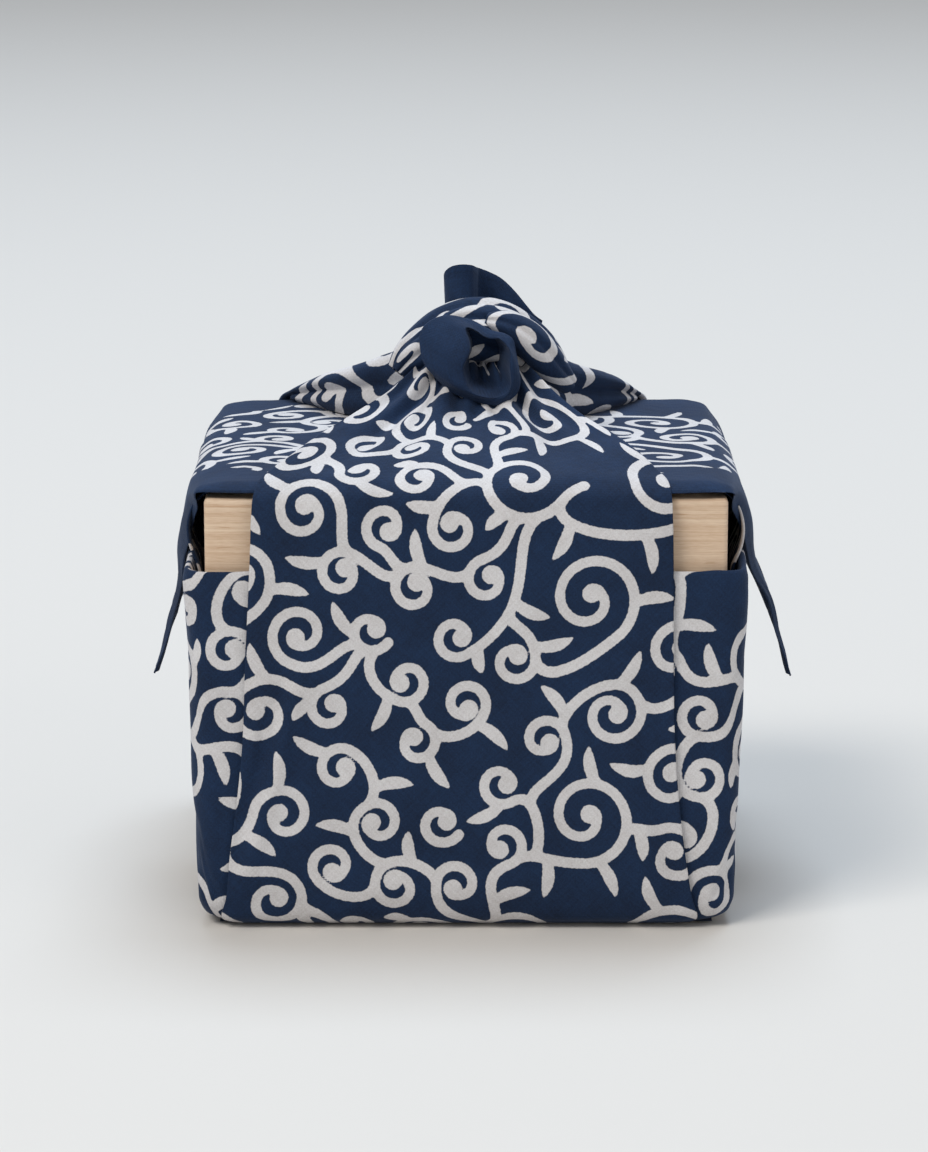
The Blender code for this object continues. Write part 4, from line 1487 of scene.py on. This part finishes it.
    @staticmethod
    def lower_bundle() -> Bundle:
        """Return the first half of the knot, which sits on the lid.

        Returns:
            The lower roll.
        """
        rows = rows_of(BandRow, (
            (-29.0, 0.5, 168.0, 6.0, 5.0), (-24.0, 0.2, 169.0, 13.0, 8.5), (-16.0, 0.0, 170.5, 18.5, 11.0),
            (-6.0, 0.0, 171.5, 22.0, 13.0), (8.0, 0.0, 171.5, 22.5, 13.5), (18.0, 0.3, 170.5, 19.0, 11.5),
            (26.0, 0.6, 169.0, 13.0, 8.5), (32.0, 1.0, 167.5, 6.0, 5.0),
        ))
        flutes = rows_of(Flute, (
            (40.0, 0.10, 14.0, 0.4), (120.0, 0.12, 16.0, -0.5), (200.0, 0.1, 14.0, 0.3),
            (300.0, 0.12, 16.0, 0.6), (250.0, 0.10, 10.0, -0.4),
        ))
        return Bundle("cloth_knot_lower", rows, flutes, (0.0, 380.0))

    @staticmethod
    def upper_bundle() -> Bundle:
        """Return the broad strand that arches over the knot.

        Returns:
            The upper roll.
        """
        rows = rows_of(BandRow, (
            (-24.5, -8.0, 183.0, 6.0, 4.5), (-20.5, -7.0, 187.6, 10.5, 6.8),
            (-13.0, -5.5, 192.3, 14.5, 9.8), (-3.0, -4.5, 196.0, 17.0, 12.4),
            (8.0, -4.0, 196.4, 17.0, 13.1), (19.0, -3.0, 192.6, 15.0, 11.4), (27.0, -2.5, 187.5, 12.0, 9.2),
            (33.0, -2.0, 181.5, 7.5, 6.0),
        ))
        flutes = rows_of(Flute, (
            (58.0, 0.13, 9.0, 0.5), (104.0, 0.16, 9.0, -0.5), (142.0, 0.12, 8.0, 0.6),
            (182.0, 0.16, 11.0, 0.3), (232.0, 0.12, 12.0, -0.4), (330.0, 0.12, 12.0, 0.4),
        ))
        return Bundle("cloth_knot_upper", rows, flutes, (4.0, -392.0))

    @staticmethod
    def side_strand() -> Bundle:
        """Return the narrower strand that comes round on the right.

        Returns:
            The strand.
        """
        rows = rows_of(BandRow, (
            (8.0, -15.0, 203.0, 4.0, 3.0), (14.0, -17.0, 202.0, 6.5, 5.0), (21.0, -17.5, 197.5, 7.5, 6.5),
            (27.0, -15.5, 191.0, 7.5, 6.5), (32.0, -12.0, 184.5, 7.0, 5.5), (36.5, -8.0, 179.0, 5.0, 4.0),
        ))
        flutes = rows_of(Flute, (
            (60.0, 0.14, 12.0, 0.5), (150.0, 0.18, 14.0, -0.5), (270.0, 0.14, 14.0, 0.4),
        ))
        return Bundle("cloth_knot_strand", rows, flutes, (36.0, -372.0))


@dataclass
class WoodenBox:
    """The lidded box, of which the cloth leaves only the upper front corners bare."""

    rounding: float = 1.7
    rounding_steps: int = 5
    foot_clear: float = 9.0  # the hidden foot stops short of the cloth's rounded lower corners

    def build(self, low: Vector, high: Vector) -> bpy.types.Object:
        """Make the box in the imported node's place, with softly rounded edges.

        Args:
            low: the node's lowest corner, m.
            high: its highest corner, m.

        Returns:
            The box.
        """
        low = low + Vector((0.0, 0.0, self.foot_clear * MM))
        bpy.ops.object.select_all(action="DESELECT")
        bpy.ops.mesh.primitive_cube_add(size=1.0, location=(low + high) / 2.0)
        box = bpy.context.active_object
        box.name = "pine_box"
        box.scale = high - low
        bpy.ops.object.transform_apply(location=True, rotation=True, scale=True)
        edges = box.modifiers.new("rounding", "BEVEL")
        edges.width = self.rounding * MM
        edges.segments = self.rounding_steps
        bpy.ops.object.modifier_apply(modifier=edges.name)
        box.data.shade_smooth()
        box.data.materials.append(PlanedPine().make())
        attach(box, "root")
        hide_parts("wooden_box")
        LOG.info("pine_box: rounded %.1f mm", self.rounding)
        return box


class LightRole(Enum):
    """What a studio light is for."""

    KEY = "key"
    FILL = "fill"
    TOP = "top"


class SoftLight(NamedTuple):
    """A square area light: where it hangs and its side, in m, its power in W and its sRGB colour."""

    role: LightRole
    place: tuple[float, float, float]
    side: float
    power: float
    colour: str


@dataclass
class Studio:
    """A pale floor, soft lights and the camera."""

    lights: tuple[SoftLight, ...] = (
        SoftLight(LightRole.KEY, (-2.4, -2.5, 4.4), 2.2, 165.0, "#fbf7f2"),
        SoftLight(LightRole.FILL, (3.6, -3.6, 2.0), 3.4, 30.0, "#fff4ea"),
        SoftLight(LightRole.TOP, (0.3, 1.6, 4.6), 2.6, 158.0, "#dcedff"),
    )
    air: str = "#e8ecf2"
    air_strength: float = 0.44
    floor_side: float = 24.0
    floor_drop: float = 0.0002  # keeps the floor's face clear of the cloth's
    aim: tuple[float, float, float] = (-0.0007, 0.0, 0.1062)
    distance: float = 1.5
    elevation: float = 12.0
    lens: float = 127.8

    def build(self) -> None:
        """Make the floor, the lights, the surroundings and the camera."""
        bpy.ops.object.select_all(action="DESELECT")
        bpy.ops.mesh.primitive_plane_add(size=self.floor_side, location=(0.0, 0.0, -self.floor_drop))
        floor = bpy.context.active_object
        floor.name = "studio_floor"
        bpy.ops.object.transform_apply(location=True, rotation=True, scale=True)
        floor.data.materials.append(StudioFloor().make())
        for light in self.lights:
            self.add_light(light)
        world = bpy.data.worlds.new("studio_air")
        world.use_nodes = True
        air = world.node_tree.nodes["Background"].inputs
        air["Color"].default_value = linear_colour(self.air)
        air["Strength"].default_value = self.air_strength
        bpy.context.scene.world = world
        bpy.context.scene.view_settings.view_transform = "Standard"
        self.add_camera()

    def add_light(self, light: SoftLight) -> None:
        """Add one light, aimed at the bundle.

        Args:
            light: its size, place, power and colour.
        """
        data = bpy.data.lights.new("studio_" + light.role.value, "AREA")
        data.size = light.side
        data.energy = light.power
        data.color = linear_colour(light.colour)[:3]
        lamp = bpy.data.objects.new(data.name, data)
        lamp.location = light.place
        lamp.rotation_euler = (Vector(self.aim) - Vector(light.place)).to_track_quat("-Z", "Y").to_euler()
        bpy.context.scene.collection.objects.link(lamp)

    def add_camera(self) -> None:
        """Add the camera, straight in front and a little above."""
        data = bpy.data.cameras.new("studio_camera")
        data.lens = self.lens
        data.sensor_width = 36.0
        data.clip_end = 50.0
        camera = bpy.data.objects.new("studio_camera", data)
        tilt = math.radians(self.elevation)
        aim = Vector(self.aim)
        camera.location = aim + self.distance * Vector((0.0, -math.cos(tilt), math.sin(tilt)))
        camera.rotation_euler = (math.pi / 2.0 - tilt, 0.0, 0.0)
        bpy.context.scene.collection.objects.link(camera)
        bpy.context.scene.camera = camera


def main() -> None:
    """Build every piece in order."""
    logging.basicConfig(level=logging.INFO, format="%(message)s")
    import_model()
    Studio().build()
    vine = VinePrint()
    LOG.info("vine print: %d scrolls, %d leaves", len(vine.scrolls), vine.leaves)
    cotton = PrintedCotton().make()
    pieces = {sheet.name: sheet.build(vine, cotton) for sheet in FuroshikiCloth().pieces()}
    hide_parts("furoshiki")
    low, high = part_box("wooden_box")
    WoodenBox().build(Vector(low), Vector(high))


if __name__ == "__main__":
    main()
